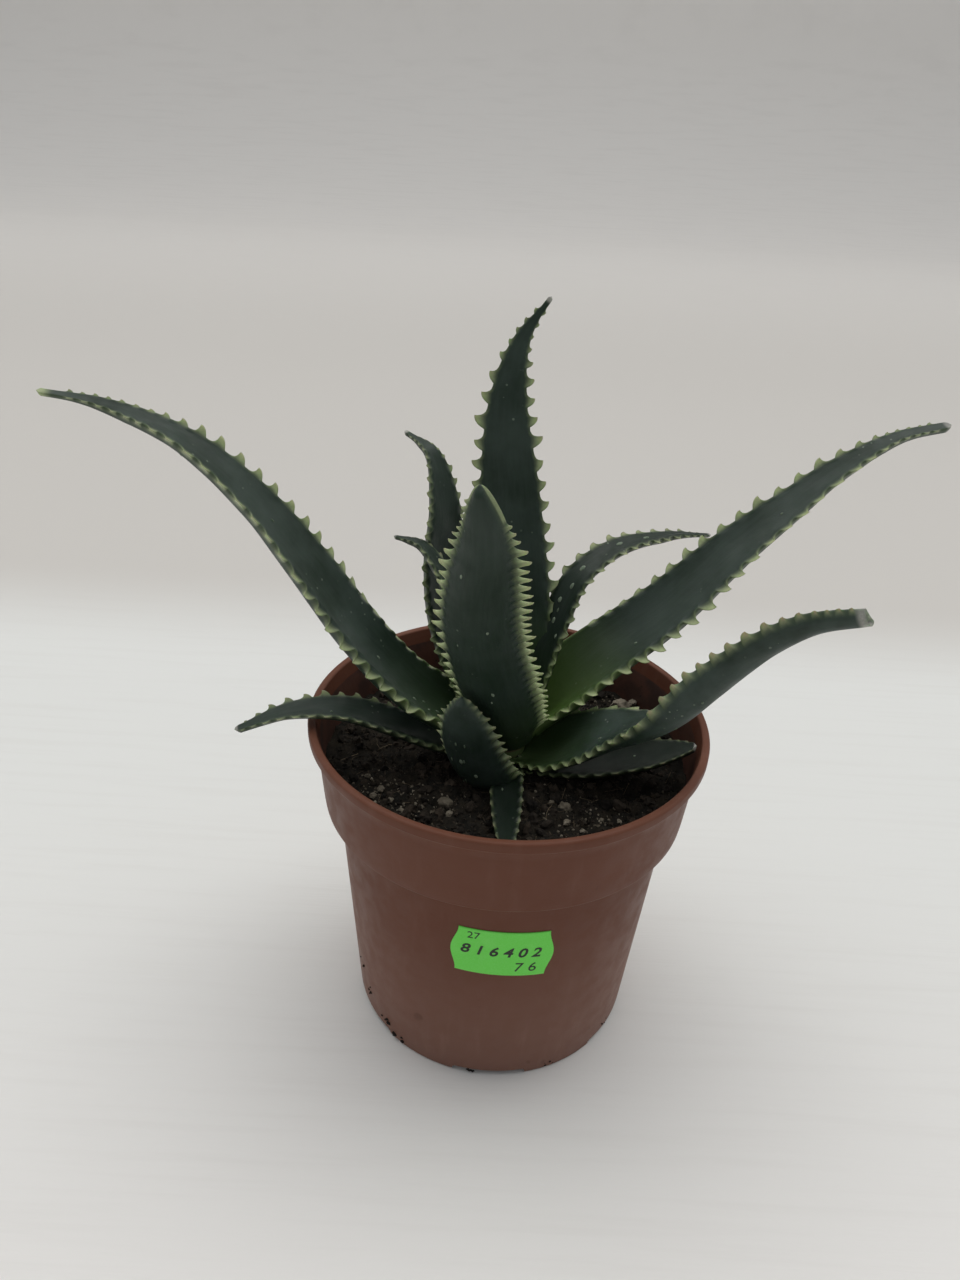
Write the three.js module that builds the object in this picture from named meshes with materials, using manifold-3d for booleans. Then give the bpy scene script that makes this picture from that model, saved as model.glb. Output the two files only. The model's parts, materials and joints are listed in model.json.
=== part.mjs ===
// A young aloe aculeata in a round 10.5 cm nursery pot, with its potting mix.
// Millimetres, +Z up, -Y at the front. The origin is the middle of the face the pot stands on.

import * as THREE from 'three';
import { mergeVertices } from 'three/addons/utils/BufferGeometryUtils.js';
import Module from 'manifold-3d';

const wasm = await Module();
wasm.setup();

// Clearance that touching pieces keep between their faces.
const GAP = 0.3;

// Pot: a thin moulded shell with a rolled lip and a collar over a tapered wall.
const POT_HEIGHT = 93;
const LIP_RADIUS = 52.5;
const LIP_DEPTH = 3;
const LIP_WIDTH = 2.1;
const COLLAR_TOP_RADIUS = 50.8;
const COLLAR_FOOT_RADIUS = 48.6;
const COLLAR_FOOT_Z = 69;
const WALL_TOP_RADIUS = 45;
const WALL_FOOT_RADIUS = 39.5;
const WALL = 1;
const FLOOR_Z = 2.2;
const FOOT_WIDTH = 2.4;
const FOOT_COUNT = 6;
const FOOT_SLOPE = 1;
const EDGE_BEVEL = 0.6;
const SHOULDER_RISE = 0.8;
const NOTCH_DEPTH = 12;
const NOTCH_WIDTH = 20;
const NOTCH_HEIGHT = 1.8;
const DRAIN_COUNT = 6;
const DRAIN_RADIUS = 4.5;
const DRAIN_CIRCLE = 27;
const DRAIN_SIDES = 16;
const DRAIN_REACH = 8;
const POT_SIDES = 40;

// Soil: its top lies this far under the lip, with clods and stones standing out of it.
const SOIL_DROP = 14;
const SOIL_Z = POT_HEIGHT - SOIL_DROP;
const SOIL_MOUND = 1.5;
const SOIL_RELIEF = 0.8;
const SOIL_RINGS = 10;
const SOIL_SIDES = 40;
const SOIL_INSET = 2 * GAP;
const MOUND_REACH = 20;
// Waves of the bed: radians per millimetre along X and Y, where each starts, and its height.
const SOIL_WAVES = [
  [0.61, 0.53, 1.3, 0.5],
  [0.61, -0.53, 1.3, 0.5],
  [0.23, -0.71, 0, 1],
  [1.13, 0.97, 1.57, 0.6],
];
const STONE_COUNT = 14;
const STONE_REACH = [14, 43];
const STONE_SIZE = [1.4, 3];
const STONE_BREADTH = [0.7, 1];
const STONE_HEIGHT = 0.75;
const STONE_RISE = 0.2;
const STONE_SEED = 4211;

// Stem: a short cone that the leaves clasp, with a root crown under the soil.
const STEM_RADIUS = 5;
const STEM_FOOT_Z = 62;
const STEM_TOP_Z = 104;
const STEM_POINT = 3;
const STEM_POINT_RADIUS = 1.8;
const STEM_SIDES = 20;
const CROWN_RADIUS = 7.5;
const CROWN_HEIGHT = 12;

// Label: a small paper sticker with wavy ends on the front of the pot wall.
const LABEL_WIDTH = 26;
const LABEL_HEIGHT = 16;
const LABEL_THICKNESS = 0.6;
const LABEL_Z = 50.5;
const LABEL_AZIMUTH = -88.7;
const LABEL_TILT = 2;
const LABEL_WAVE = 0.8;
const LABEL_COLUMNS = 12;
const LABEL_ROWS = [-0.5, -0.3, 0, 0.3, 0.5];
const LABEL_BULGE = [-1, 0.2, 1, 0.2, -1];

// Leaves, the youngest first. Each route runs from the stem to the tip in the leaf's own plane, as
// [out from the axis, to the left, up]. Width and thickness are the greatest ones and tip is the
// width of the blunt end. Twist turns the face about the route, from the first share of twistRun to
// the second. Tooth is the teeth's length on the left and the right margin, and pitch their spacing.
const LEAVES = [
  {
    name: 'leaf_b_tall_back', azimuth: 90, width: 18.5, tip: 1.8, thickness: 5,
    fullness: 3, taper: 1.25, pitch: 6, tooth: [2.6, 2.6],
    route: [[0, 0, 93], [5, 0, 104], [9, 0, 118], [16, 3, 146], [21, 5, 170], [25, 2.5, 184], [28, -4, 194]],
  },
  {
    name: 'leaf_c_tall_front', azimuth: -100, width: 19, thickness: 6,
    fullness: 3, taper: 0.6, pitch: 3.8, tooth: [2.9, 2.4],
    route: [[3, 1, 91], [8, -0.2, 101], [16, -3.1, 117], [23, -4.8, 132], [30, -3.7, 146], [36, -2.4, 158],
      [41, -3.2, 171]],
  },
  {
    name: 'leaf_e_small_left', azimuth: 160, width: 11, thickness: 3.6,
    fullness: 2.1, taper: 0.85, pitch: 4.5, tooth: [1.3, 1.3],
    route: [[2, 0, 94], [6, 0, 104], [12, 0, 116], [19, 0, 129], [26, 0, 136.5], [34, 0, 137]],
  },
  {
    name: 'leaf_d_back_left', azimuth: 140, width: 18, tip: 1.8, thickness: 4.5,
    fullness: 2.6, taper: 1.1, pitch: 4.6, tooth: [1.7, 1.7],
    route: [[2, 0, 91], [12, 0, 101], [20, 0, 113], [24, 0, 128], [25, 0, 145], [30, 0, 157], [40, 0, 160]],
  },
  {
    name: 'leaf_f_arched_right', azimuth: 38, width: 9.6, tip: 1.4, thickness: 4, twist: [0, 10],
    fullness: 1.9, toothed: 0.9, pitch: 5, tooth: [2.2, 1.4],
    route: [[2, 0, 91], [7, 0, 103], [12, 0, 116], [19.3, 0, 128.3], [32, 0, 133.8], [52, 0, 133],
      [70, 0, 129]],
  },
  {
    name: 'leaf_g_long_right', azimuth: 17, width: 23.3, tip: 2.8, thickness: 5.8, twist: [5, 17],
    fullness: 1.2, taper: 0.98, pitch: 6, tooth: [2.2, 2.9],
    route: [[2, 0, 93], [12, 0, 102], [23.4, 0, 109.9], [40, 0, 121.2], [59, 0, 138.2], [72.2, 0, 148.3],
      [82.5, 0, 156.2], [98.8, 0, 164.4], [114.5, 0, 167]],
  },
  {
    name: 'leaf_a_long_left', azimuth: 182, width: 20.3, tip: 1.8, thickness: 6, twist: [-5, -20],
    fullness: 1.6, taper: 1, pitch: 6, tooth: [2.9, 2.4],
    route: [[2, 0, 90], [13, 0, 95.5], [24.3, 0, 102], [38, 0, 117], [50.4, 0, 134.6], [62.6, 0, 150.6],
      [78.7, 0, 164.9], [95.5, 0, 171.8], [110, 0, 174]],
  },
  {
    name: 'leaf_j_short_front', azimuth: -108, width: 17, thickness: 6,
    fullness: 3, taper: 0.6, pitch: 3.6, tooth: [2, 1.8],
    route: [[4, 0, 79], [12, -2, 85], [18, -4, 95], [24, -5, 111]],
  },
  {
    name: 'leaf_h_cut_right', azimuth: -30, width: 21, thickness: 4.9,
    twist: [26, -50], twistRun: [0.17, 0.64],
    fullness: 0.7, cut: 0.28, toothed: 0.9, pitch: 4.8, tooth: [2.2, 1.4],
    route: [[2, 0, 86], [15, 0, 91], [28, 0, 100], [41, 0, 109], [50, 0, 121], [61, 0, 135], [70, 0, 143],
      [81, 0, 148]],
  },
  {
    name: 'leaf_m_low_back', azimuth: 92, width: 13, thickness: 4,
    pitch: 4.6, tooth: [1.3, 1.3],
    route: [[2, 0, 86], [20, 0, 88], [34, 0, 91], [46, 0, 97]],
  },
  {
    name: 'leaf_i_low_left', azimuth: 190, width: 11.5, tip: 2.4, thickness: 3.8, twist: [0, -8],
    fullness: 2.3, taper: 0.75, toothed: 0.92, pitch: 4.6, tooth: [1.7, 1.5],
    route: [[2, 0, 84], [18, 0, 87.5], [30, 0, 92.7], [43, 0, 97.2], [57, 0, 97], [71, 0, 91.6]],
  },
  {
    name: 'leaf_k_low_right', azimuth: -12, width: 17, thickness: 4, twist: [12, 2],
    fullness: 3, taper: 0.6, pitch: 4.2, tooth: [1.2, 1.3],
    route: [[2, 0, 83], [22, 0, 84], [37, 0, 88], [49, 0, 93]],
  },
  {
    name: 'leaf_l_low_front', azimuth: -90, width: 8.6, thickness: 3.4,
    fullness: 3, taper: 0.7, pitch: 4, tooth: [0.7, 0.6],
    route: [[2, 0, 83], [17, 0, 82.5], [32, 0, 82.5], [45, 0, 83.5]],
  },
];

// What a leaf has where the list above doesn't say otherwise.
const USUAL_LEAF = {
  tip: 1.6, twist: [0, 0], twistRun: [0, 0.5], fullness: 1.8, taper: 1.05, toothed: 0.84,
};

// Leaf build: how the blade and its section run from the foot (0) to the tip (1).
const FOOT_NARROWING = 0.25;
const FOOT_END = 0.12;
const MARGIN_FOOT = 1;
const MARGIN_TIP = 0.6;
const CHANNEL_FOOT = 0.6;
const CHANNEL_BLADE = 0.2;
const CHANNEL_TIP = 0.08;
const CHANNEL_TIP_AT = 0.8;
const SHEATH_END = 0.22;
const SHEATH_THICKNESS = 0.55;
const THINNING = 0.6;
const THICKEST_OF_WIDTH = 0.75;
const UNDER_FULLNESS = 0.6;
const TOP_SHARES = [1, 0.45, -0.45, -1];
const UNDER_SHARES = [-1, -0.5, 0.5, 1];
const PATH_DIVISIONS = 400;

// Teeth: they grow from the foot, keep their size to the leaf's toothed share and then fade.
const TEETH_START = 0.05;
const TEETH_GROWN = 0.3;
const TEETH_FOOT_SIZE = 0.5;
const TEETH_END_SIZE = 0.3;
const TEETH_FADE = 0.08;
const PITCH_GROWN = 0.4;
const PITCH_FOOT = 0.7;
const TOOTH_ROOT = 0.62;
const TOOTH_HOOK = 0.5;
const TOOTH_VARIES = [0.8, 1.1];
const TIP_STATIONS = 2;
const LAST_STATION = 0.985;

const MATERIALS = {
  pot: { color: 0x6b4034, roughness: 0.5 },
  soil: { color: 0x1d1712, roughness: 1 },
  stem: { color: 0x5a6a3c, roughness: 0.7 },
  leaf: { color: 0x36493a, roughness: 0.55 },
  label: { color: 0x5cb848, roughness: 0.7 },
};

function radians(degrees) {
  return (degrees * Math.PI) / 180;
}

function mix(from, to, share) {
  return from + (to - from) * share;
}

function smooth(from, to, value) {
  const share = Math.min(1, Math.max(0, (value - from) / (to - from)));
  return share * share * (3 - 2 * share);
}

// A seeded draw of numbers from 0 to 1, the same on each run.
function seeded(seed) {
  let state = seed;
  return () => {
    state = (state * 16807) % 2147483647;
    return state / 2147483647;
  };
}

// Mesh and solid helpers.

function geometryOf(points, triangles) {
  const geometry = new THREE.BufferGeometry();
  const values = points.flatMap((point) => [point.x, point.y, point.z]);
  geometry.setAttribute('position', new THREE.Float32BufferAttribute(values, 3));
  geometry.setIndex(triangles.flat());
  return geometry;
}

function solidOf(geometry) {
  const bare = geometry.clone();
  bare.deleteAttribute('normal');
  bare.deleteAttribute('uv');
  const merged = mergeVertices(bare, 1e-4);
  return new wasm.Manifold(new wasm.Mesh({
    numProp: 3,
    vertProperties: new Float32Array(merged.attributes.position.array),
    triVerts: new Uint32Array(merged.index.array),
  }));
}

function largestBody(solid) {
  const bodies = solid.decompose();
  return bodies.reduce((best, body) => (body.volume() > best.volume() ? body : best));
}

function meshOf(name, solid, material) {
  const { vertProperties, triVerts } = solid.getMesh();
  const geometry = new THREE.BufferGeometry();
  geometry.setAttribute('position', new THREE.Float32BufferAttribute(vertProperties, 3));
  geometry.setIndex(Array.from(triVerts));
  geometry.computeVertexNormals();
  const mesh = new THREE.Mesh(geometry, new THREE.MeshStandardMaterial({ ...material, metalness: 0 }));
  mesh.name = name;
  return mesh;
}

// Closes a stack of rings, each with the same count of points. An end is closed by a fan to its
// point, or, where it has none, by a strip from one half of the ring to the other.
function skin(rings, footPoint, tipPoint) {
  const count = rings[0].length;
  const last = (rings.length - 1) * count;
  const points = rings.flat();
  const triangles = [];
  for (let ring = 0; ring < rings.length - 1; ring += 1) {
    for (let k = 0; k < count; k += 1) {
      const a = ring * count + k;
      const b = ring * count + ((k + 1) % count);
      triangles.push([a, b, a + count], [b, b + count, a + count]);
    }
  }
  const close = (start, point, facesTip) => {
    const faces = [];
    if (point) {
      points.push(point);
      for (let k = 0; k < count; k += 1) {
        faces.push([points.length - 1, start + k, start + ((k + 1) % count)]);
      }
    } else {
      for (let k = 0; k < count / 2 - 1; k += 1) {
        const [a, b, c, d] = [k, k + 1, count - 2 - k, count - 1 - k].map((index) => start + index);
        faces.push([a, b, c], [a, c, d]);
      }
    }
    triangles.push(...(facesTip ? faces : faces.map((face) => face.reverse())));
  };
  close(0, footPoint, false);
  close(last, tipPoint, true);
  return geometryOf(points, triangles);
}

// Leaf.

// The blade's width, which runs softly into that of the blunt tip.
function leafWidth(leaf, u) {
  const foot = 1 - FOOT_NARROWING * (1 - smooth(0, FOOT_END, u));
  const spread = u ** leaf.fullness;
  const blade = leaf.cut ? mix(1, leaf.cut, spread) : (1 - spread) ** leaf.taper;
  return Math.sqrt(Math.hypot((leaf.width * foot * blade) ** 2, leaf.tip ** 2));
}

function leafThickness(leaf, u) {
  const sheath = mix(SHEATH_THICKNESS, 1, smooth(0, SHEATH_END, u));
  const fleshy = leaf.thickness * sheath * (1 - THINNING * u ** 2);
  return Math.min(fleshy, THICKEST_OF_WIDTH * leafWidth(leaf, u));
}

// The path of a leaf, with the side and face directions at each share of its length.
function leafPath(leaf) {
  const turn = radians(leaf.azimuth);
  const out = new THREE.Vector3(Math.cos(turn), Math.sin(turn), 0);
  const left = new THREE.Vector3(-Math.sin(turn), Math.cos(turn), 0);
  const points = leaf.route.map(([reach, side, height]) => new THREE.Vector3(0, 0, height)
    .addScaledVector(out, reach)
    .addScaledVector(left, side));
  const curve = new THREE.CatmullRomCurve3(points, false, 'centripetal');
  curve.arcLengthDivisions = PATH_DIVISIONS;
  const frameAt = (u) => {
    const along = curve.getTangentAt(u);
    const side = left.clone().addScaledVector(along, -left.dot(along)).normalize();
    const face = along.clone().cross(side);
    const twist = radians(mix(...leaf.twist, smooth(...leaf.twistRun, u)));
    return {
      point: curve.getPointAt(u),
      along,
      side: side.clone().multiplyScalar(Math.cos(twist)).addScaledVector(face, Math.sin(twist)),
      face: face.clone().multiplyScalar(Math.cos(twist)).addScaledVector(side, -Math.sin(twist)),
    };
  };
  return { length: curve.getLength(), frameAt };
}

// Stations along a leaf: each has its share of the length and how far the two margins stand out.
function leafStations(leaf, length) {
  const draw = seeded(leaf.name.charCodeAt(5) * 7919);
  const stations = [{ u: 0, left: 0, right: 0 }];
  let u = TEETH_START;
  while (u < leaf.toothed + TEETH_FADE / 2) {
    const step = (leaf.pitch * mix(PITCH_FOOT, 1, smooth(0, PITCH_GROWN, u))) / length;
    const grown = mix(TEETH_FOOT_SIZE, 1, smooth(0, TEETH_GROWN, u));
    const faded = mix(1, TEETH_END_SIZE, smooth(leaf.toothed - TEETH_FADE, leaf.toothed + TEETH_FADE, u));
    const [left, right] = leaf.tooth.map((tooth) => tooth * grown * faded * mix(...TOOTH_VARIES, draw()));
    const root = step * TOOTH_ROOT;
    stations.push({ u, left: 0, right: 0 });
    stations.push({ u: u + root / 2, left, right });
    stations.push({ u: u + root, left: 0, right: 0 });
    u += step;
  }
  const from = stations[stations.length - 1].u;
  for (let k = 1; k <= TIP_STATIONS; k += 1) {
    stations.push({ u: mix(from, leaf.cut ? 1 : LAST_STATION, k / TIP_STATIONS), left: 0, right: 0 });
  }
  return stations;
}

// One ring of the section, with the margins first drawn out to their teeth. Grow makes it larger
// all round, for cutting a neighbour clear.
function leafRing(leaf, frame, station, grow) {
  const half = leafWidth(leaf, station.u) / 2;
  const blade = mix(CHANNEL_BLADE, CHANNEL_TIP, smooth(SHEATH_END, CHANNEL_TIP_AT, station.u));
  const channel = half * mix(CHANNEL_FOOT, blade, smooth(0, SHEATH_END, station.u));
  const margin = Math.min(mix(MARGIN_FOOT, MARGIN_TIP, station.u), half);
  const body = leafThickness(leaf, station.u) + channel - margin;
  const pointAt = (across, up, hook) => frame.point.clone()
    .addScaledVector(frame.side, across)
    .addScaledVector(frame.face, up)
    .addScaledVector(frame.along, hook);
  const edge = (share, up) => {
    const tooth = share > 0 ? station.left : station.right;
    return pointAt(share * (half + tooth + grow), up, tooth * TOOTH_HOOK);
  };
  const top = TOP_SHARES.map((share) => (Math.abs(share) === 1
    ? edge(share, grow)
    : pointAt(share * half, grow - channel * (1 - share * share), 0)));
  const under = UNDER_SHARES.map((share) => (Math.abs(share) === 1
    ? edge(share, -margin - grow)
    : pointAt(share * half, -margin - grow - body * (1 - share * share) ** UNDER_FULLNESS, 0)));
  return [...top, ...under];
}

function leafSolid(leaf, grow = 0) {
  const path = leafPath(leaf);
  const stations = leafStations(leaf, path.length);
  const rings = stations.map((station) => leafRing(leaf, path.frameAt(station.u), station, grow));
  const tip = path.frameAt(1);
  const tipPoint = tip.point.clone().addScaledVector(tip.face, -MARGIN_TIP / 2);
  return solidOf(skin(rings, null, leaf.cut ? null : tipPoint.addScaledVector(tip.along, grow)));
}

// Stem.

function stemSolid(grow = 0) {
  const profile = [
    [0, STEM_FOOT_Z - grow],
    [CROWN_RADIUS / 2 + grow, STEM_FOOT_Z - grow],
    [CROWN_RADIUS + grow, mix(STEM_FOOT_Z, STEM_FOOT_Z + CROWN_HEIGHT, 0.4)],
    [mix(STEM_RADIUS, CROWN_RADIUS, 0.4) + grow, STEM_FOOT_Z + CROWN_HEIGHT],
    [STEM_RADIUS + grow, SOIL_Z],
    [mix(STEM_RADIUS, STEM_POINT_RADIUS, 0.3) + grow, mix(SOIL_Z, STEM_TOP_Z, 0.6)],
    [STEM_POINT_RADIUS + grow, STEM_TOP_Z - STEM_POINT],
    [0, STEM_TOP_Z + grow],
  ].map(([radius, z]) => new THREE.Vector2(radius, z));
  return solidOf(new THREE.LatheGeometry(profile, STEM_SIDES).rotateX(Math.PI / 2));
}

// Pot.

function wallRadius(z) {
  return mix(WALL_FOOT_RADIUS, WALL_TOP_RADIUS, z / COLLAR_FOOT_Z);
}

function collarRadius(z) {
  return mix(COLLAR_FOOT_RADIUS, COLLAR_TOP_RADIUS, (z - COLLAR_FOOT_Z) / (POT_HEIGHT - COLLAR_FOOT_Z));
}

function ringOfCopies(count, makeOne) {
  return Array.from({ length: count }, (_, index) => makeOne((index / count) * Math.PI * 2 - Math.PI / 2));
}

function potSolid() {
  const inner = POT_HEIGHT - LIP_DEPTH;
  const profile = [
    [0, FLOOR_Z],
    [WALL_FOOT_RADIUS - FOOT_WIDTH - FOOT_SLOPE, FLOOR_Z],
    [WALL_FOOT_RADIUS - FOOT_WIDTH, 0],
    [WALL_FOOT_RADIUS - EDGE_BEVEL, 0],
    [wallRadius(EDGE_BEVEL), EDGE_BEVEL],
    [WALL_TOP_RADIUS, COLLAR_FOOT_Z],
    [COLLAR_FOOT_RADIUS, COLLAR_FOOT_Z + SHOULDER_RISE],
    [collarRadius(inner), inner],
    [LIP_RADIUS, inner + EDGE_BEVEL],
    [LIP_RADIUS, POT_HEIGHT - EDGE_BEVEL],
    [LIP_RADIUS - EDGE_BEVEL, POT_HEIGHT],
    [LIP_RADIUS - LIP_WIDTH + EDGE_BEVEL, POT_HEIGHT],
    [LIP_RADIUS - LIP_WIDTH, POT_HEIGHT - EDGE_BEVEL],
    [collarRadius(inner) - WALL, inner - WALL],
    [COLLAR_FOOT_RADIUS - WALL, COLLAR_FOOT_Z + 2 * SHOULDER_RISE],
    [WALL_TOP_RADIUS - WALL, COLLAR_FOOT_Z + SHOULDER_RISE],
    [wallRadius(FLOOR_Z) - WALL, FLOOR_Z + WALL],
    [0, FLOOR_Z + WALL],
  ].map(([radius, z]) => new THREE.Vector2(radius, z));
  let pot = solidOf(new THREE.LatheGeometry(profile, POT_SIDES).rotateX(Math.PI / 2));
  const notches = ringOfCopies(
    FOOT_COUNT,
    (angle) => new THREE.BoxGeometry(NOTCH_DEPTH, NOTCH_WIDTH, 2 * NOTCH_HEIGHT)
      .translate(WALL_FOOT_RADIUS - WALL, 0, 0)
      .rotateZ(angle),
  );
  const drains = ringOfCopies(
    DRAIN_COUNT,
    (angle) => new THREE.CylinderGeometry(DRAIN_RADIUS, DRAIN_RADIUS, DRAIN_REACH, DRAIN_SIDES)
      .rotateX(Math.PI / 2)
      .translate(DRAIN_CIRCLE, 0, FLOOR_Z)
      .rotateZ(angle),
  );
  [...notches, ...drains].forEach((cutter) => {
    pot = pot.subtract(solidOf(cutter));
  });
  return pot;
}

// Soil.

function soilHeight(x, y) {
  const mound = SOIL_MOUND * Math.exp(-((Math.hypot(x, y) / MOUND_REACH) ** 2));
  const waves = SOIL_WAVES.reduce(
    (sum, [alongX, alongY, start, size]) => sum + size * Math.sin(x * alongX + y * alongY + start),
    0,
  );
  return SOIL_Z + mound + (SOIL_RELIEF * waves) / 2;
}

function soilBody() {
  const ringAt = (radius, heightAt) => Array.from({ length: SOIL_SIDES }, (_, k) => {
    const angle = (k / SOIL_SIDES) * Math.PI * 2;
    const x = radius * Math.cos(angle);
    const y = radius * Math.sin(angle);
    return new THREE.Vector3(x, y, heightAt(x, y));
  });
  const top = collarRadius(SOIL_Z) - WALL - SOIL_INSET;
  const step = COLLAR_FOOT_Z + SHOULDER_RISE + SOIL_INSET;
  const rings = [
    ringAt(wallRadius(FLOOR_Z) - WALL - SOIL_INSET, () => FLOOR_Z + WALL + GAP),
    ringAt(WALL_TOP_RADIUS - WALL - SOIL_INSET, () => step),
    ringAt(COLLAR_FOOT_RADIUS - WALL - SOIL_INSET, () => step + SHOULDER_RISE),
    ...Array.from({ length: SOIL_RINGS }, (_, k) => ringAt(top * (1 - k / SOIL_RINGS), soilHeight)),
  ];
  const foot = new THREE.Vector3(0, 0, FLOOR_Z + WALL + GAP);
  return solidOf(skin(rings, foot, new THREE.Vector3(0, 0, soilHeight(0, 0))));
}

function soilStones() {
  const draw = seeded(STONE_SEED);
  return Array.from({ length: STONE_COUNT }, () => {
    const angle = draw() * Math.PI * 2;
    const reach = mix(...STONE_REACH, Math.sqrt(draw()));
    const size = mix(...STONE_SIZE, draw() ** 2);
    const x = reach * Math.cos(angle);
    const y = reach * Math.sin(angle);
    const stone = new THREE.IcosahedronGeometry(size, 0)
      .scale(1, mix(...STONE_BREADTH, draw()), STONE_HEIGHT)
      .rotateZ(draw() * Math.PI)
      .translate(x, y, soilHeight(x, y) + size * STONE_RISE);
    return solidOf(stone);
  });
}

function soilSolid(pressed) {
  let soil = soilBody();
  soilStones().forEach((stone) => {
    soil = soil.add(stone);
  });
  [stemSolid(GAP), ...pressed].forEach((shape) => {
    soil = soil.subtract(shape);
  });
  return largestBody(soil);
}

// Label.

function labelSolid() {
  const slope = Math.atan((WALL_TOP_RADIUS - WALL_FOOT_RADIUS) / COLLAR_FOOT_Z);
  const tilt = radians(LABEL_TILT);
  const onWall = (across, up, lift) => {
    const x = across * Math.cos(tilt) + up * Math.sin(tilt);
    const z = LABEL_Z + (up * Math.cos(tilt) - across * Math.sin(tilt)) * Math.cos(slope);
    const radius = wallRadius(z) + lift;
    const angle = radians(LABEL_AZIMUTH) + x / wallRadius(z);
    return new THREE.Vector3(radius * Math.cos(angle), radius * Math.sin(angle), z);
  };
  const columnRing = (k) => {
    const share = (k / LABEL_COLUMNS) * 2 - 1;
    const faceAt = (lift) => LABEL_ROWS.map((row, r) => {
      const reach = LABEL_WIDTH / 2 - LABEL_WAVE + LABEL_WAVE * LABEL_BULGE[r];
      return onWall(share * reach, row * LABEL_HEIGHT, lift);
    });
    return [...faceAt(GAP), ...faceAt(GAP + LABEL_THICKNESS).reverse()];
  };
  const rings = Array.from({ length: LABEL_COLUMNS + 1 }, (_, k) => columnRing(k));
  return solidOf(skin(rings, null, null));
}

// Assembly: each leaf is cut clear of the stem and of the younger leaves that it clasps.

function plantLeaves() {
  const clear = [stemSolid(GAP)];
  return LEAVES.map((own) => {
    const leaf = { ...USUAL_LEAF, ...own };
    let solid = leafSolid(leaf);
    clear.forEach((shape) => {
      solid = solid.subtract(shape);
    });
    clear.push(leafSolid(leaf, GAP));
    return { name: leaf.name, solid: largestBody(solid), grown: clear[clear.length - 1] };
  });
}

const group = new THREE.Group();
const leaves = plantLeaves();
group.add(meshOf('pot', potSolid(), MATERIALS.pot));
group.add(meshOf('soil', soilSolid(leaves.map((leaf) => leaf.grown)), MATERIALS.soil));
group.add(meshOf('stem', stemSolid(), MATERIALS.stem));
leaves.forEach((leaf) => {
  group.add(meshOf(leaf.name, leaf.solid, MATERIALS.leaf));
});
group.add(meshOf('price_label', labelSolid(), MATERIALS.label));

export default group;
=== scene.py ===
"""A young aloe in a round nursery pot, dressed for a studio picture.

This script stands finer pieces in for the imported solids: leaves with smooth hooked teeth, a round
satin pot, crumbly peat with grains and fibres, and a paper sticker. The pot's height and lip and
the stem's box are read from the solids. The leaves' routes and widths and the pot's main sizes
repeat the part's own named values. Teeth, tips and what only the scene has are sized here.
Leaves and soil are laid out in millimetres and turned into metres as their meshes are made. The
rest is in metres, with MM for a millimetre.
"""

import json
import logging
import math
from dataclasses import dataclass, field
from enum import Enum
from functools import partial
from typing import Callable, Iterable, Sequence

import bmesh
import bpy
import numpy as np
from mathutils import Matrix, Vector, noise

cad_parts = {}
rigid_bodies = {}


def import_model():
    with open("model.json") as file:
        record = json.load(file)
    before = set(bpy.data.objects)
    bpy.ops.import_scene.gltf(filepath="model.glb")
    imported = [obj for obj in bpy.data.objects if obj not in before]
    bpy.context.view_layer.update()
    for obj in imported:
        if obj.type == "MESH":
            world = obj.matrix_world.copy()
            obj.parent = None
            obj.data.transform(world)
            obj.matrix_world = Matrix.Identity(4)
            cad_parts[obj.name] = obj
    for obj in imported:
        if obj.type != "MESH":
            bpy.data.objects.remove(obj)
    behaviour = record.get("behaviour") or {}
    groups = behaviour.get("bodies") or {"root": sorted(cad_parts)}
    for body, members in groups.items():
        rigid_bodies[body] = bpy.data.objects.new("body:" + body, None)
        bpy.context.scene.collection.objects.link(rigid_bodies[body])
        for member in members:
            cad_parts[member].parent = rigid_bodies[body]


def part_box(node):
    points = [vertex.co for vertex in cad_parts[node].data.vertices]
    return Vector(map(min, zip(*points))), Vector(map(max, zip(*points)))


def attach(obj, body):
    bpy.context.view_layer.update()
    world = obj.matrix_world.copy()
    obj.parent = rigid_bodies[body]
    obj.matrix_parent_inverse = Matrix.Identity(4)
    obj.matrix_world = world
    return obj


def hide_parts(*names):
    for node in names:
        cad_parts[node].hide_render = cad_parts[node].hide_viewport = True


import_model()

MM = 0.001
ROOT = "root"
DRAW_FACTOR = 16807
DRAW_SPAN = 2147483647

Array = np.ndarray
Material = bpy.types.Material
Mesh = bpy.types.Mesh
Piece = bpy.types.Object
Socket = bpy.types.NodeSocket
Corners = tuple[int, ...]
Pair = tuple[float, float]
Triple = tuple[float, float, float]
Four = tuple[float, float, float, float]
Colour = Triple

logger = logging.getLogger("potted_aloe")


class Face(Enum):
    """The two faces of a leaf."""

    UPPER = 1
    UNDER = -1


# Numbers and curves.


def mix(start: Array | float, end: Array | float, share: Array | float) -> Array | float:
    """The value a share of the way from start to end."""
    return start + (end - start) * share


def smooth(start: float, end: float, value: Array | float) -> Array | float:
    """0 before start, 1 after end, and an even S between them."""
    share = np.clip((np.asarray(value, float) - start) / (end - start), 0.0, 1.0)
    return share * share * (3.0 - 2.0 * share)


def seeded(seed: int) -> Callable[[], float]:
    """A draw of numbers from 0 to 1 that is the same on each run.

    Args:
        seed: The whole number that the draw starts from.

    Returns:
        A function that gives the next number.
    """
    state = seed

    def draw() -> float:
        """The next number."""
        nonlocal state
        state = (state * DRAW_FACTOR) % DRAW_SPAN
        return state / DRAW_SPAN

    return draw


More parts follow.
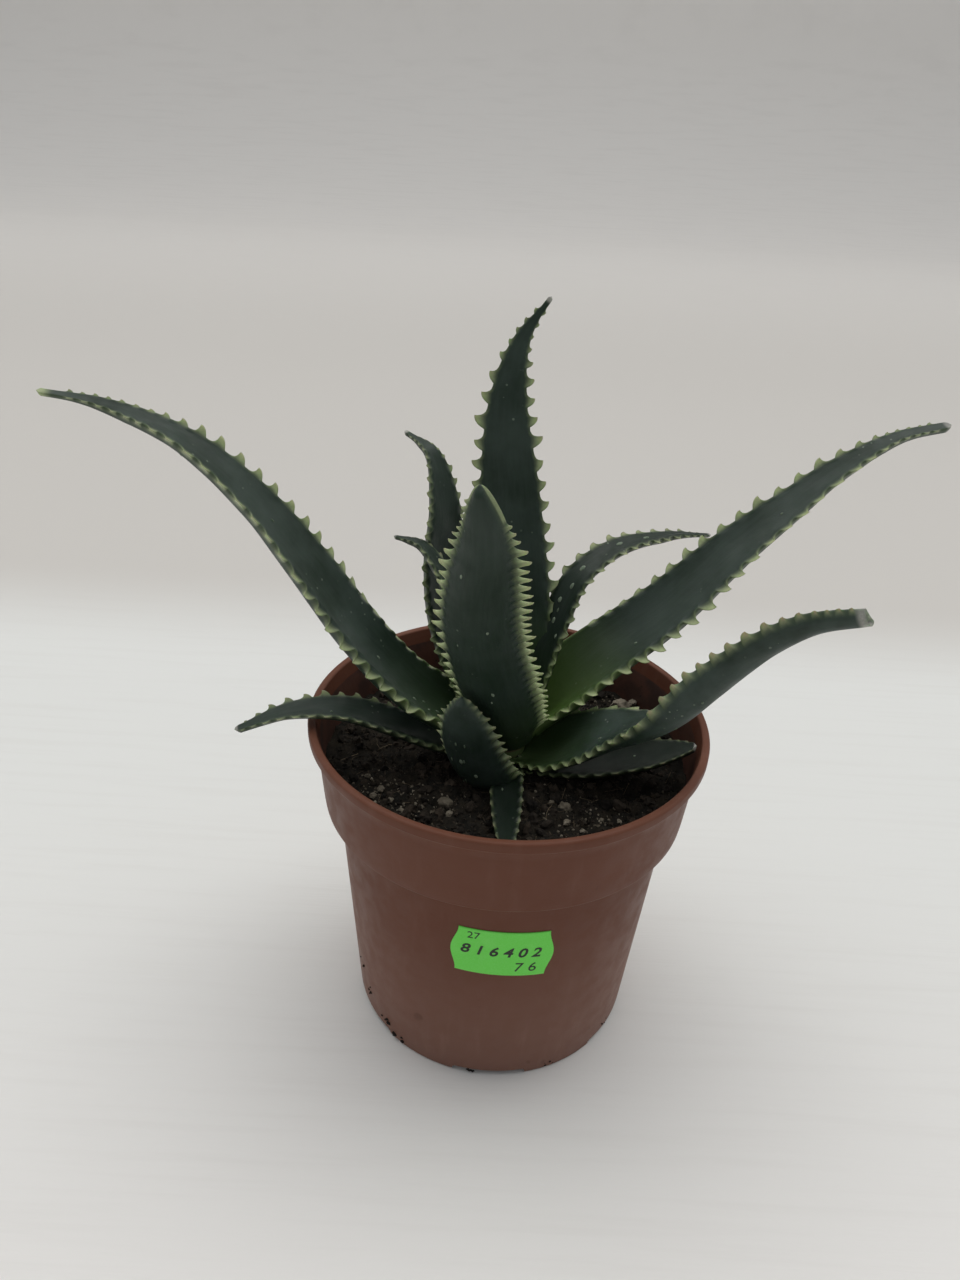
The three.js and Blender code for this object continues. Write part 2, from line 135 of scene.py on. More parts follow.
def bezier(points: Sequence[Pair], share: float) -> Pair:
    """The point of a flat cubic curve at a share of its run.

    Args:
        points: Its start, its two handles and its end.
        share: 0 at the start and 1 at the end.

    Returns:
        The point's two coordinates.
    """
    weights = ((1 - share) ** 3, 3 * share * (1 - share) ** 2, 3 * share**2 * (1 - share), share**3)
    return (
        sum(weight * point[0] for weight, point in zip(weights, points)),
        sum(weight * point[1] for weight, point in zip(weights, points)),
    )


def turned(azimuth: float) -> tuple[Array, Array]:
    """The directions out and to the left of the pot's axis at an azimuth in degrees.

    Args:
        azimuth: Degrees round from the right, seen from above.

    Returns:
        Both directions.
    """
    angle = math.radians(azimuth)
    return (
        np.array([math.cos(angle), math.sin(angle), 0.0]),
        np.array([-math.sin(angle), math.cos(angle), 0.0]),
    )


# Meshes.


def linked(name: str, data: bpy.types.ID) -> Piece:
    """A new object in the scene that holds a mesh, a curve, a lamp or a camera."""
    piece = bpy.data.objects.new(name, data)
    bpy.context.scene.collection.objects.link(piece)
    return piece


def mesh_piece(
    name: str,
    points: Array,
    faces: Iterable[Sequence[int]],
    material: Material,
    values: dict[str, Array] | None = None,
) -> Piece:
    """Makes a smooth mesh object, with its faces turned outwards.

    Args:
        name: The object's name.
        points: The corners, in metres.
        faces: The corner numbers of each face.
        material: The finish.
        values: Named numbers for the corners, which the finish reads.

    Returns:
        The new object, linked to the scene.
    """
    mesh = bpy.data.meshes.new(name)
    loops = [list(map(int, face)) for face in faces]
    mesh.from_pydata([tuple(map(float, point)) for point in points], [], loops)
    mesh.update()
    if signed_volume(mesh) < 0:
        mesh.flip_normals()
    for label, numbers in (values or {}).items():
        layer = mesh.attributes.new(label, "FLOAT", "POINT")
        layer.data.foreach_set("value", np.asarray(numbers, np.float32).ravel())
    mesh.shade_smooth()
    mesh.materials.append(material)
    return linked(name, mesh)


def signed_volume(mesh: Mesh) -> float:
    """The volume inside a mesh, below zero where its faces point inwards.

    Args:
        mesh: A closed mesh.

    Returns:
        Its volume.
    """
    mesh.calc_loop_triangles()
    places = np.empty(len(mesh.vertices) * 3)
    mesh.vertices.foreach_get("co", places)
    corners = np.empty(len(mesh.loop_triangles) * 3, np.int64)
    mesh.loop_triangles.foreach_get("vertices", corners)
    a, b, c = places.reshape(-1, 3)[corners.reshape(-1, 3)].transpose(1, 0, 2)
    return float(np.einsum("ij,ij->i", a, np.cross(b, c)).sum() / 6)


def band(low: int, high: int, around: int) -> list[Corners]:
    """The faces between two closed rings of points.

    Args:
        low: The number of the first ring's first point.
        high: The number of the second ring's first point.
        around: How many points each ring has.

    Returns:
        Four corners for each face.
    """
    return [
        (low + k, low + (k + 1) % around, high + (k + 1) % around, high + k) for k in range(around)
    ]


def fan(ring: int, around: int, hub: int, flipped: bool = False) -> list[Corners]:
    """The faces from a closed ring of points to one more point.

    Args:
        ring: The number of the ring's first point.
        around: How many points it has.
        hub: The number of the point that they all meet in.
        flipped: Whether the faces look the other way.

    Returns:
        Three corners for each face.
    """
    pairs = [(ring + k, ring + (k + 1) % around) for k in range(around)]
    return [(b, a, hub) if flipped else (a, b, hub) for a, b in pairs]


def tube_faces(rings: int, around: int) -> list[Corners]:
    """The faces between rings of points that close on themselves.

    Args:
        rings: How many rings follow each other.
        around: How many points each ring has.

    Returns:
        Four corners for each face.
    """
    return [face for r in range(rings - 1) for face in band(r * around, (r + 1) * around, around)]


def lathe(
    name: str, profile: Sequence[Pair], sides: int, material: Material
) -> Piece:
    """Turns a profile of radius and height round the pot's axis into a closed body.

    Args:
        name: The object's name.
        profile: Its points, which start and end on the axis or close on themselves.
        sides: How many flats go round.
        material: The finish.

    Returns:
        The new object.
    """
    angles = np.arange(sides) / sides * 2 * math.pi
    points: list[Array] = []
    rows: list[list[int]] = []
    for radius, height in profile:
        start = len(points)
        if radius == 0:
            points.append(np.array([0.0, 0.0, height]))
            rows.append([start] * sides)
        else:
            points.extend(np.array([radius * math.cos(a), radius * math.sin(a), height]) for a in angles)
            rows.append([start + k for k in range(sides)])
    closed = profile[0][0] != 0
    pairs = zip(rows, rows[1:] + rows[:1]) if closed else zip(rows, rows[1:])
    faces = []
    for low, high in pairs:
        for k in range(sides):
            after = (k + 1) % sides
            corners = [low[k], low[after], high[after], high[k]]
            faces.append(list(dict.fromkeys(corners)))
    return mesh_piece(name, np.array(points), [f for f in faces if len(f) > 2], material)


def joined(name: str, pieces: Sequence[Piece]) -> Piece:
    """Joins several objects into one with a new name, keeping each one's finish.

    Args:
        name: The name of the whole.
        pieces: The objects.

    Returns:
        The one object.
    """
    with bpy.context.temp_override(
        active_object=pieces[0], object=pieces[0], selected_objects=pieces,
        selected_editable_objects=pieces,
    ):
        bpy.ops.object.join()
    pieces[0].name = name
    pieces[0].data.name = name
    return pieces[0]


def settled(piece: Piece) -> Piece:
    """Turns what a piece's modifiers make into its plain mesh, and takes the modifiers off.

    Args:
        piece: The piece.

    Returns:
        The same piece.
    """
    bpy.context.view_layer.update()
    seen = piece.evaluated_get(bpy.context.evaluated_depsgraph_get())
    mesh = bpy.data.meshes.new_from_object(seen)
    piece.modifiers.clear()
    piece.data = mesh
    return piece


def mounted(piece: Piece, slot: str, *nodes: str) -> Piece:
    """Lets a piece ride with the pot and stand for nodes, and reports it.

    Args:
        piece: The finished piece.
        slot: The record's material slot, which is not used.
        nodes: The solids it stands for, if any.

    Returns:
        The same piece.
    """
    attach(piece, ROOT)
    if nodes:
        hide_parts(*nodes)
    triangles = sum(len(face.vertices) - 2 for face in piece.data.polygons)
    logger.info("%s: %d triangles", piece.name, triangles)
    return piece


# Finishes.


def new_node(tree: bpy.types.NodeTree, kind: str, **settings: object) -> bpy.types.Node:
    """A new node in a tree.

    Args:
        tree: The tree.
        kind: The node's type.
        settings: Its properties by name.

    Returns:
        The node.
    """
    node = tree.nodes.new(kind)
    for label, value in settings.items():
        setattr(node, label, value)
    return node


class Brush:
    """Lays out the shader nodes of one material."""

    def __init__(self, name: str) -> None:
        """Starts a material with its one shader.

        Args:
            name: The material's name.
        """
        self.material = bpy.data.materials.new(name)
        self.material.use_nodes = True
        self.tree = self.material.node_tree
        self.shader = self.tree.nodes["Principled BSDF"]

    def add(self, kind: str, **settings: object) -> bpy.types.Node:
        """A new node of a kind with its settings."""
        return new_node(self.tree, kind, **settings)

    def feed(self, socket: Socket, value: object) -> None:
        """Links another node's output to a socket, or sets the socket's own value.

        Args:
            socket: The socket.
            value: An output, or a number, tuple or colour.
        """
        if isinstance(value, Socket):
            self.tree.links.new(value, socket)
        elif isinstance(value, tuple) and socket.type == "RGBA":
            socket.default_value = (*value[:3], 1.0)
        else:
            socket.default_value = value

    def place(self) -> Socket:
        """The point on the piece, in metres."""
        return self.add("ShaderNodeTexCoord").outputs["Object"]

    def stretched(self, scale: Triple) -> Socket:
        """The point on the piece with each axis scaled."""
        node = self.add("ShaderNodeMapping")
        self.feed(node.inputs["Vector"], self.place())
        node.inputs["Scale"].default_value = scale
        return node.outputs["Vector"]

    def along(self, scale: Triple) -> Socket:
        """The piece's own flat map, which runs along and across it, scaled."""
        node = self.add("ShaderNodeMapping")
        self.feed(node.inputs["Vector"], self.add("ShaderNodeUVMap").outputs["UV"])
        node.inputs["Scale"].default_value = scale
        return node.outputs["Vector"]

    def level(self) -> Socket:
        """The height of the point on the piece, in metres."""
        split = self.add("ShaderNodeSeparateXYZ")
        self.feed(split.inputs[0], self.place())
        return split.outputs["Z"]

    def value(self, label: str) -> Socket:
        """A named number that the mesh holds for each corner."""
        return self.add("ShaderNodeAttribute", attribute_name=label).outputs["Fac"]

    def noise(
        self, scale: float, detail: float = 3.0, vector: Socket | None = None,
        roughness: float = 0.55,
    ) -> Socket:
        """Cloudy grey noise of a scale in waves per metre.

        Args:
            scale: Waves per metre.
            detail: How many finer waves are added.
            vector: The point it is taken at, or none for the point on the piece.
            roughness: How strong the finer waves are.

        Returns:
            The noise from 0 to 1.
        """
        node = self.add("ShaderNodeTexNoise")
        self.feed(node.inputs["Vector"], vector or self.place())
        node.inputs["Scale"].default_value = scale
        node.inputs["Detail"].default_value = detail
        node.inputs["Roughness"].default_value = roughness
        return node.outputs["Fac"]

    def cells(self, scale: float, vector: Socket | None = None) -> Socket:
        """The distance to the nearest of many scattered points."""
        node = self.add("ShaderNodeTexVoronoi")
        self.feed(node.inputs["Vector"], vector or self.place())
        node.inputs["Scale"].default_value = scale
        return node.outputs["Distance"]

    def range(
        self, value: Socket, start: float, end: float, low: float = 0.0, high: float = 1.0
    ) -> Socket:
        """Maps start to low and end to high, with soft ends.

        Args:
            value: The number.
            start: Where it begins to change.
            end: Where it has changed.
            low: What it is before.
            high: What it is after.

        Returns:
            The mapped number.
        """
        node = self.add("ShaderNodeMapRange", interpolation_type="SMOOTHSTEP")
        for label, number in (("Value", value), ("From Min", start), ("From Max", end),
                              ("To Min", low), ("To Max", high)):
            self.feed(node.inputs[label], number)
        return node.outputs["Result"]

    def math(self, operation: str, first: object, second: object) -> Socket:
        """One sum of two numbers."""
        node = self.add("ShaderNodeMath", operation=operation, use_clamp=False)
        self.feed(node.inputs[0], first)
        self.feed(node.inputs[1], second)
        return node.outputs[0]

    def blend(self, share: object, first: object, second: object, way: str = "MIX") -> Socket:
        """The first colour with a share of the second over it.

        Args:
            share: How much of the second is seen.
            first: The colour under it.
            second: The colour over it.
            way: How they are mixed.

        Returns:
            The mixed colour.
        """
        node = self.add("ShaderNodeMix", data_type="RGBA", blend_type=way)
        self.feed(node.inputs[0], share)
        self.feed(node.inputs[6], first)
        self.feed(node.inputs[7], second)
        return node.outputs[2]

    def relief(self, height: Socket, depth: float, strength: float = 1.0,
               under: Socket | None = None) -> Socket:
        """Raised relief of a height from 0 to 1 over a depth in metres.

        Args:
            height: The height from 0 to 1.
            depth: How high 1 stands, in metres.
            strength: How strongly it shows.
            under: Another relief that it lies on.

        Returns:
            The direction that the skin faces.
        """
        node = self.add("ShaderNodeBump")
        node.inputs["Strength"].default_value = strength
        node.inputs["Distance"].default_value = depth
        self.feed(node.inputs["Height"], height)
        if under is not None:
            self.feed(node.inputs["Normal"], under)
        return node.outputs["Normal"]

    def dress(self, **values: object) -> Material:
        """Feeds the shader's sockets, with spaces written as underscores, and returns the material."""
        for label, value in values.items():
            self.feed(self.shader.inputs[label.replace("_", " ")], value)
        return self.material


@dataclass(frozen=True)
class LeafFinish:
    """Dull grey-green skin with a faint bloom, pale margins and teeth, a dry tip, and painted shade that
    darkens some leaves.
    """

    deep: Colour = (0.014, 0.027, 0.017)
    bloom: Colour = (0.044, 0.064, 0.052)
    fresh: Colour = (0.070, 0.125, 0.022)
    tooth: Colour = (0.50, 0.57, 0.30)
    tooth_root: Colour = (0.13, 0.19, 0.06)
    thorn: Colour = (0.38, 0.26, 0.18)
    dry: Colour = (0.37, 0.365, 0.33)
    # The colour of the painted shade that darkens some leaves.
    shade: Colour = (0.006, 0.011, 0.007)
    light: Colour = (0.30, 0.36, 0.27)

    def build(self) -> Material:
        """Builds the skin, which reads the leaf's named numbers.

        Returns:
            The material.
        """
        brush = Brush("leaf_skin")
        cloud = brush.range(brush.noise(70, 4), 0.32, 0.70)
        streaks = brush.range(brush.noise(1.0, 3, brush.along((90, 900, 1))), 0.35, 0.70)
        skin = brush.blend(brush.math("MULTIPLY", cloud, brush.value("bloom")), self.deep, self.bloom)
        skin = brush.blend(brush.math("MULTIPLY", streaks, 0.22), skin, self.bloom)
        skin = brush.blend(brush.value("fresh"), skin, self.fresh)
        # Painted shade: darkens the whole skin of some leaves evenly.
        skin = brush.blend(brush.value("shade"), skin, self.shade)
        fleck = brush.math("LESS_THAN", brush.cells(420), 0.13)
        patchy = brush.range(brush.noise(55, 2), 0.52, 0.66)
        skin = brush.blend(
            brush.math("MULTIPLY", brush.math("MULTIPLY", fleck, patchy), 0.35), skin, self.light
        )
        pale = brush.blend(brush.value("edge"), skin, self.tooth_root)
        mottle = brush.range(brush.noise(900, 3), 0.3, 0.7, 0.75, 1.0)
        pale = brush.blend(brush.math("MULTIPLY", brush.value("tooth"), mottle), pale, self.tooth)
        pale = brush.blend(brush.value("thorn"), pale, self.thorn)
        grey = brush.range(brush.noise(500, 4), 0.3, 0.7, 0.55, 1.0)
        colour = brush.blend(brush.math("MULTIPLY", brush.value("dry"), grey), pale, self.dry)
        rough = brush.range(brush.noise(260, 3), 0.3, 0.7, 0.40, 0.56)
        fine = brush.relief(brush.noise(2600, 3), 0.00005, 0.5)
        ribs = brush.relief(brush.noise(1.0, 2, brush.along((140, 1500, 1))), 0.00006, 0.6, fine)
        return brush.dress(
            Base_Color=colour, Roughness=rough, Normal=ribs, Specular_IOR_Level=0.24,
            Subsurface_Weight=0.12, Subsurface_Radius=(0.4, 1.0, 0.25), Subsurface_Scale=0.0016,
        )


@dataclass(frozen=True)
class WartFinish:
    """Small pale raised spots on the skin."""

    body: Colour = (0.10, 0.14, 0.09)
    crown: Colour = (0.24, 0.29, 0.21)

    def build(self) -> Material:
        """Builds the spots' skin.

        Returns:
            The material.
        """
        brush = Brush("leaf_wart")
        share = brush.range(brush.noise(700, 3), 0.35, 0.65)
        colour = brush.blend(brush.math("MULTIPLY", share, 0.8), self.body, self.crown)
        normal = brush.relief(brush.noise(3000, 2), 0.00004, 0.5)
        return brush.dress(Base_Color=colour, Roughness=0.55, Normal=normal, Specular_IOR_Level=0.4)


@dataclass(frozen=True)
class PotFinish:
    """Satin red-brown moulded plastic, with a film of dust, painted light that turns the wall paler towards
    its foot, a few dried splashes, and painted shade on the inner wall.
    """

    body: Colour = (0.128, 0.048, 0.028)
    worn: Colour = (0.154, 0.064, 0.040)
    # Dust colour, also used as painted light on the lower wall.
    dust: Colour = (0.27, 0.155, 0.120)
    stain: Colour = (0.062, 0.026, 0.017)
    # The body darkened by painted shade, for the inner wall.
    inside: Colour = (0.046, 0.022, 0.016)
    peat: Colour = (0.012, 0.009, 0.007)

    def build(self) -> Material:
        """Builds the plastic of the outside.

        Returns:
            The material.
        """
        brush = Brush("pot_plastic")
        cloud = brush.range(brush.noise(26, 4), 0.32, 0.70)
        colour = brush.blend(brush.math("MULTIPLY", cloud, 0.5), self.body, self.worn)
        film = brush.range(brush.noise(1.0, 5, brush.stretched((240, 240, 46))), 0.50, 0.78)
        low = brush.range(brush.level(), 0.035, 0.0, 0.10, 0.42)
        colour = brush.blend(brush.math("MULTIPLY", film, low), colour, self.dust)
        # Painted light, together with dust: the wall turns evenly paler towards its foot.
        colour = brush.blend(brush.range(brush.level(), 0.062, 0.0, 0.0, 0.48), colour, self.dust)
        splash = brush.range(brush.noise(150, 5), 0.66, 0.74)
        colour = brush.blend(brush.math("MULTIPLY", splash, 0.35), colour, self.stain)
        rough = brush.range(brush.noise(190, 4), 0.3, 0.7, 0.38, 0.54)
        skin = brush.relief(brush.noise(1500, 2), 0.00003, 0.5)
        scratches = brush.range(brush.noise(1.0, 2, brush.stretched((60, 60, 5200))), 0.55, 0.75)
        normal = brush.relief(scratches, 0.00002, 0.4, skin)
        return brush.dress(
            Base_Color=colour, Roughness=rough, Normal=normal, Specular_IOR_Level=0.15,
            Subsurface_Weight=0.04, Subsurface_Radius=(1.0, 0.35, 0.2), Subsurface_Scale=0.001,
        )

    def build_inside(self) -> Material:
        """Builds the inner wall, darkened by painted shade, more in some patches, and dusted with peat.

        Returns:
            The material.
        """
        brush = Brush("pot_inside")
        # Painted shade: the inner wall is the body darkened, more in some patches.
        inner_painted_shade = brush.range(brush.noise(90, 5), 0.40, 0.62)
        colour = brush.blend(brush.range(inner_painted_shade, 0.0, 1.0, 0.55, 1.0), self.body, self.inside)
        specks = brush.math("LESS_THAN", brush.cells(650), 0.17)
        patch = brush.range(brush.noise(130, 3), 0.45, 0.60)
        colour = brush.blend(brush.math("MULTIPLY", specks, patch), colour, self.peat)
        normal = brush.relief(brush.noise(900, 3), 0.0001, 0.5)
        return brush.dress(Base_Color=colour, Roughness=0.5, Normal=normal, Specular_IOR_Level=0.45)


@dataclass(frozen=True)
class GrainFinish:
    """Loose matter that varies from grain to grain."""

    name: str
    dark: Colour
    light: Colour
    roughness: float = 0.95
    pore: float = 1400.0

    def build(self) -> Material:
        """Builds the grains' finish, which reads each grain's tone.

        Returns:
            The material.
        """
        brush = Brush(self.name)
        colour = brush.blend(brush.value("tone"), self.dark, self.light)
        patch = brush.range(brush.noise(self.pore * 0.5, 4), 0.30, 0.70, 0.0, 0.55)
        colour = brush.blend(patch, colour, self.dark)
        normal = brush.relief(brush.noise(self.pore, 4), 0.00025, 0.8)
        return brush.dress(
            Base_Color=colour, Roughness=self.roughness, Normal=normal, Specular_IOR_Level=0.25
        )


@dataclass(frozen=True)
class SoilFinish:
    """Dark, nearly dry peat."""

    dark: Colour = (0.0090, 0.0085, 0.0068)
    brown: Colour = (0.028, 0.022, 0.015)
    ash: Colour = (0.050, 0.044, 0.036)

    def build(self) -> Material:
        """Builds the bed under the crumbs.

        Returns:
            The material.
        """
        brush = Brush("soil_bed")
        patch = brush.range(brush.noise(240, 6, roughness=0.7), 0.35, 0.68)
        colour = brush.blend(patch, self.dark, self.brown)
        bits = brush.math("LESS_THAN", brush.cells(950), 0.16)
        colour = brush.blend(brush.math("MULTIPLY", bits, 0.55), colour, self.ash)
        normal = brush.relief(brush.noise(700, 6, roughness=0.75), 0.0008, 0.9)
        return brush.dress(Base_Color=colour, Roughness=0.97, Normal=normal, Specular_IOR_Level=0.2)


@dataclass(frozen=True)
class StemFinish:
    """Pale green bark with brown leaf scars, fresh and green at the growing point."""

    green: Colour = (0.11, 0.16, 0.05)
    brown: Colour = (0.10, 0.06, 0.035)
    fresh: Colour = (0.060, 0.110, 0.026)

    def build(self) -> Material:
        """Builds the bark.

        Returns:
            The material.
        """
        brush = Brush("stem_bark")
        rings = brush.range(brush.noise(1.0, 3, brush.stretched((50, 50, 420))), 0.42, 0.62)
        colour = brush.blend(rings, self.green, self.brown)
        colour = brush.blend(brush.range(brush.level(), 0.092, 0.099), colour, self.fresh)
        normal = brush.relief(brush.noise(900, 4), 0.0002, 0.6)
        return brush.dress(Base_Color=colour, Roughness=0.7, Normal=normal)


@dataclass(frozen=True)
class LabelFinish:
    """Bright green coated paper."""

    paper: Colour = (0.15, 0.74, 0.08)
    rubbed: Colour = (0.22, 0.78, 0.15)

    def build(self) -> Material:
        """Builds the paper.

        Returns:
            The material.
        """
        brush = Brush("label_paper")
        fibre = brush.range(brush.noise(2400, 4), 0.35, 0.65)
        wear = brush.range(brush.noise(160, 4), 0.45, 0.75)
        colour = brush.blend(brush.math("MULTIPLY", fibre, 0.35), self.paper, self.rubbed)
        colour = brush.blend(brush.math("MULTIPLY", wear, 0.4), colour, self.rubbed)
        normal = brush.relief(brush.noise(3200, 3), 0.00002, 0.5)
        return brush.dress(Base_Color=colour, Roughness=0.6, Normal=normal, Specular_IOR_Level=0.4)


@dataclass(frozen=True)
class InkFinish:
    """Black printing ink, a little broken up."""

    ink: Colour = (0.012, 0.016, 0.010)
    thin: Colour = (0.040, 0.085, 0.030)

    def build(self) -> Material:
        """Builds the ink.

        Returns:
            The material.
        """
        brush = Brush("label_ink")
        colour = brush.blend(brush.range(brush.noise(2600, 3), 0.55, 0.75), self.ink, self.thin)
        return brush.dress(Base_Color=colour, Roughness=0.55)


@dataclass(frozen=True)
class StageFinish:
    """Pale cloth on the floor and behind, with painted light and shade: darker with distance, then paler
    again on the wall.
    """

    # The band, far and wall colours paint light and shade along the floor and backdrop.
    floor: Colour = (0.77, 0.75, 0.73)
    band: Colour = (0.73, 0.735, 0.715)
    far: Colour = (0.59, 0.57, 0.54)
    wall: Colour = (0.78, 0.76, 0.73)

    def build(self) -> Material:
        """Builds the cloth.

        Returns:
            The material.
        """
        brush = Brush("stage_cloth")
        split = brush.add("ShaderNodeSeparateXYZ")
        brush.feed(split.inputs[0], brush.place())
        # Painted light and shade: the colour changes with the distance behind the pot, through the band to
        # the darker far stretch, then to the wall.
        near = brush.range(split.outputs["Y"], -0.20, 0.10)
        far = brush.range(split.outputs["Y"], 0.17, 0.27)
        colour = brush.blend(near, self.floor, self.band)
        colour = brush.blend(far, colour, self.far)
        colour = brush.blend(brush.range(split.outputs["Y"], 0.7, 1.7), colour, self.wall)
        slub = brush.range(brush.noise(1.0, 4, brush.stretched((12, 240, 12))), 0.45, 0.75)
        colour = brush.blend(brush.math("MULTIPLY", slub, 0.12), colour, self.far)
        normal = brush.relief(brush.noise(1.0, 3, brush.stretched((60, 1300, 60))), 0.0002, 0.25)
        return brush.dress(Base_Color=colour, Roughness=0.95, Normal=normal, Specular_IOR_Level=0.1)


# Scattering.


@dataclass(frozen=True)
class Scatter:
    """Copies small shapes over a surface, each turned and sized by a seeded draw."""

    name: str
    density: float
    seed: int
    smallest: float
    largest: float
    flat: float = 0.0
    masked: bool = False

    def tree(self) -> tuple[bpy.types.NodeTree, dict[str, str]]:
        """Builds the tree of nodes.

        Returns:
            The tree, and the identifier of each of its inputs.
        """
        tree = bpy.data.node_groups.new(self.name, "GeometryNodeTree")
        kinds = {"Surface": "NodeSocketGeometry", "Shapes": "NodeSocketCollection",
                 "Finish": "NodeSocketMaterial", "Per square metre": "NodeSocketFloat",
                 "Seed": "NodeSocketInt", "Smallest": "NodeSocketFloat", "Largest": "NodeSocketFloat"}
        names = {
            label: tree.interface.new_socket(label, in_out="INPUT", socket_type=kind).identifier
            for label, kind in kinds.items()
        }
        tree.interface.new_socket("Pieces", in_out="OUTPUT", socket_type="NodeSocketGeometry")

        add = partial(new_node, tree)
        given, done = add("NodeGroupInput"), add("NodeGroupOutput")
        spread = add("GeometryNodeDistributePointsOnFaces")
        mask = add("GeometryNodeInputNamedAttribute", data_type="FLOAT")
        mask.inputs["Name"].default_value = "mask"
        thinned = add("ShaderNodeMath", operation="MULTIPLY")
        turn = add("FunctionNodeRandomValue", data_type="FLOAT_VECTOR")
        tilt = math.pi * (1 - self.flat)
        turn.inputs[0].default_value = (-tilt, -tilt, -math.pi)
        turn.inputs[1].default_value = (tilt, tilt, math.pi)
        size = add("FunctionNodeRandomValue", data_type="FLOAT")
        shapes = add("GeometryNodeCollectionInfo")
        shapes.inputs["Separate Children"].default_value = True
        shapes.inputs["Reset Children"].default_value = True
        copies = add("GeometryNodeInstanceOnPoints")
        copies.inputs["Pick Instance"].default_value = True
        turned_to = add("FunctionNodeRotateRotation", rotation_space="LOCAL")
        tone = add("FunctionNodeRandomValue", data_type="FLOAT")
        store = add("GeometryNodeStoreNamedAttribute", data_type="FLOAT", domain="INSTANCE")
        store.inputs["Name"].default_value = "tone"
        real, paint = add("GeometryNodeRealizeInstances"), add("GeometryNodeSetMaterial")
        density = given.outputs["Per square metre"]
        for source, target in (
            (given.outputs["Surface"], spread.inputs["Mesh"]),
            (given.outputs["Seed"], spread.inputs["Seed"]),
            (density, thinned.inputs[0]),
            (mask.outputs["Attribute"], thinned.inputs[1]),
            (thinned.outputs[0] if self.masked else density, spread.inputs["Density"]),
            (given.outputs["Seed"], turn.inputs["Seed"]),
            (given.outputs["Smallest"], size.inputs[2]),
            (given.outputs["Largest"], size.inputs[3]),
            (given.outputs["Seed"], size.inputs["Seed"]),
            (given.outputs["Shapes"], shapes.inputs["Collection"]),
            (spread.outputs["Rotation"], turned_to.inputs["Rotation"]),
            (turn.outputs[0], turned_to.inputs["Rotate By"]),
            (spread.outputs["Points"], copies.inputs["Points"]),
            (shapes.outputs["Instances"], copies.inputs["Instance"]),
            (turned_to.outputs["Rotation"], copies.inputs["Rotation"]),
            (size.outputs[1], copies.inputs["Scale"]),
            (copies.outputs["Instances"], store.inputs["Geometry"]),
            (tone.outputs[1], store.inputs["Value"]),
            (store.outputs["Geometry"], real.inputs["Geometry"]),
            (real.outputs["Geometry"], paint.inputs["Geometry"]),
            (given.outputs["Finish"], paint.inputs["Material"]),
            (paint.outputs["Geometry"], done.inputs["Pieces"]),
        ):
            tree.links.new(source, target)
        return tree, names

    def over(
        self, surface: Mesh, shapes: bpy.types.Collection, finish: Material
    ) -> Piece:
        """Scatters the shapes over a surface.

        Args:
            surface: The mesh that they lie on, which isn't kept.
            shapes: The collection that each copy is picked from.
            finish: Their material.

        Returns:
            A plain mesh object of all the copies.
        """
        tree, names = self.tree()
        piece = linked(self.name, surface)
        modifier = piece.modifiers.new("scatter", "NODES")
        modifier.node_group = tree
        for label, value in (("Shapes", shapes), ("Finish", finish), ("Per square metre", self.density),
                             ("Seed", self.seed), ("Smallest", self.smallest),
                             ("Largest", self.largest)):
            modifier[names[label]] = value
        settled(piece)
        bpy.data.node_groups.remove(tree)
        return piece


def shape_box(name: str, shapes: Sequence[Mesh]) -> bpy.types.Collection:
    """Puts meshes in a collection that a scatter can pick from.

    Args:
        name: The collection's name.
        shapes: The meshes.

    Returns:
        The collection.
    """
    box = bpy.data.collections.new(name)
    bpy.context.scene.collection.children.link(box)
    for index, mesh in enumerate(shapes):
        box.objects.link(bpy.data.objects.new(f"{name}_{index}", mesh))
    return box


def emptied(box: bpy.types.Collection) -> None:
    """Removes a collection of scattered shapes and what is in it."""
    for shape in list(box.objects):
        bpy.data.objects.remove(shape)
    bpy.data.collections.remove(box)


def crumb(name: str, level: int, seed: int, rough: float, stretch: Triple) -> Mesh:
    """A lump of unit radius with a rough, angular surface.

    Args:
        name: The mesh's name.
        level: How many times the ball is divided, with 20 faces for 1 and 80 for 2.
        seed: Where in the noise it is taken.
        rough: How far its corners move, as a share of its radius.
        stretch: Its length, breadth and height as shares.

    Returns:
        The mesh.
    """
    mesh = bpy.data.meshes.new(name)
    work = bmesh.new()
    bmesh.ops.create_icosphere(work, subdivisions=level, radius=1.0)
    offset = Vector((seed * 3.7, seed * 1.3, seed * 2.1))
    for corner in work.verts:
        coarse = noise.noise(corner.co * 1.3 + offset)
        fine = noise.noise(corner.co * 3 + offset)
        lump = 1 + rough * (coarse + 0.5 * fine)
        corner.co = Vector(c * lump * s for c, s in zip(corner.co, stretch))
    work.to_mesh(mesh)
    work.free()
    return mesh


def fibre(name: str, bend: float, seed: int, sides: int = 3, steps: int = 6) -> Mesh:
    """A thin bent root of unit length, lying flat and a little arched.

    Args:
        name: The mesh's name.
        bend: How far it curls, in radians.
        seed: Which curl it takes.
        sides: How many flats its section has.
        steps: How many lengths it is made of.

    Returns:
        The mesh.
    """
    draw = seeded(seed * 977 + 5)
    arch = 0.35
    radius = 0.014
    thinning = 0.6
    heading = 0.0
    place = Vector((-0.5, 0.0, 0.0))
    places = [place.copy()]
    for step in range(steps):
        heading += bend * (draw() - 0.4) * 2 / steps
        rise = arch * (0.5 - (step + 0.5) / steps)
        place = place + Vector((math.cos(heading), math.sin(heading), rise)) / steps
        places.append(place.copy())
    points = []
    for index, centre in enumerate(places):
        thin = radius * (1.0 - thinning * index / steps)
        for k in range(sides):
            angle = k / sides * 2 * math.pi
            points.append(centre + Vector((0.0, math.cos(angle) * thin, math.sin(angle) * thin)))
    faces = tube_faces(len(places), sides)
    last = (len(places) - 1) * sides
    faces += [tuple(range(sides))[::-1], tuple(last + k for k in range(sides))]
    mesh = bpy.data.meshes.new(name)
    mesh.from_pydata(points, [], faces)
    mesh.update()
    return mesh


# Leaves.


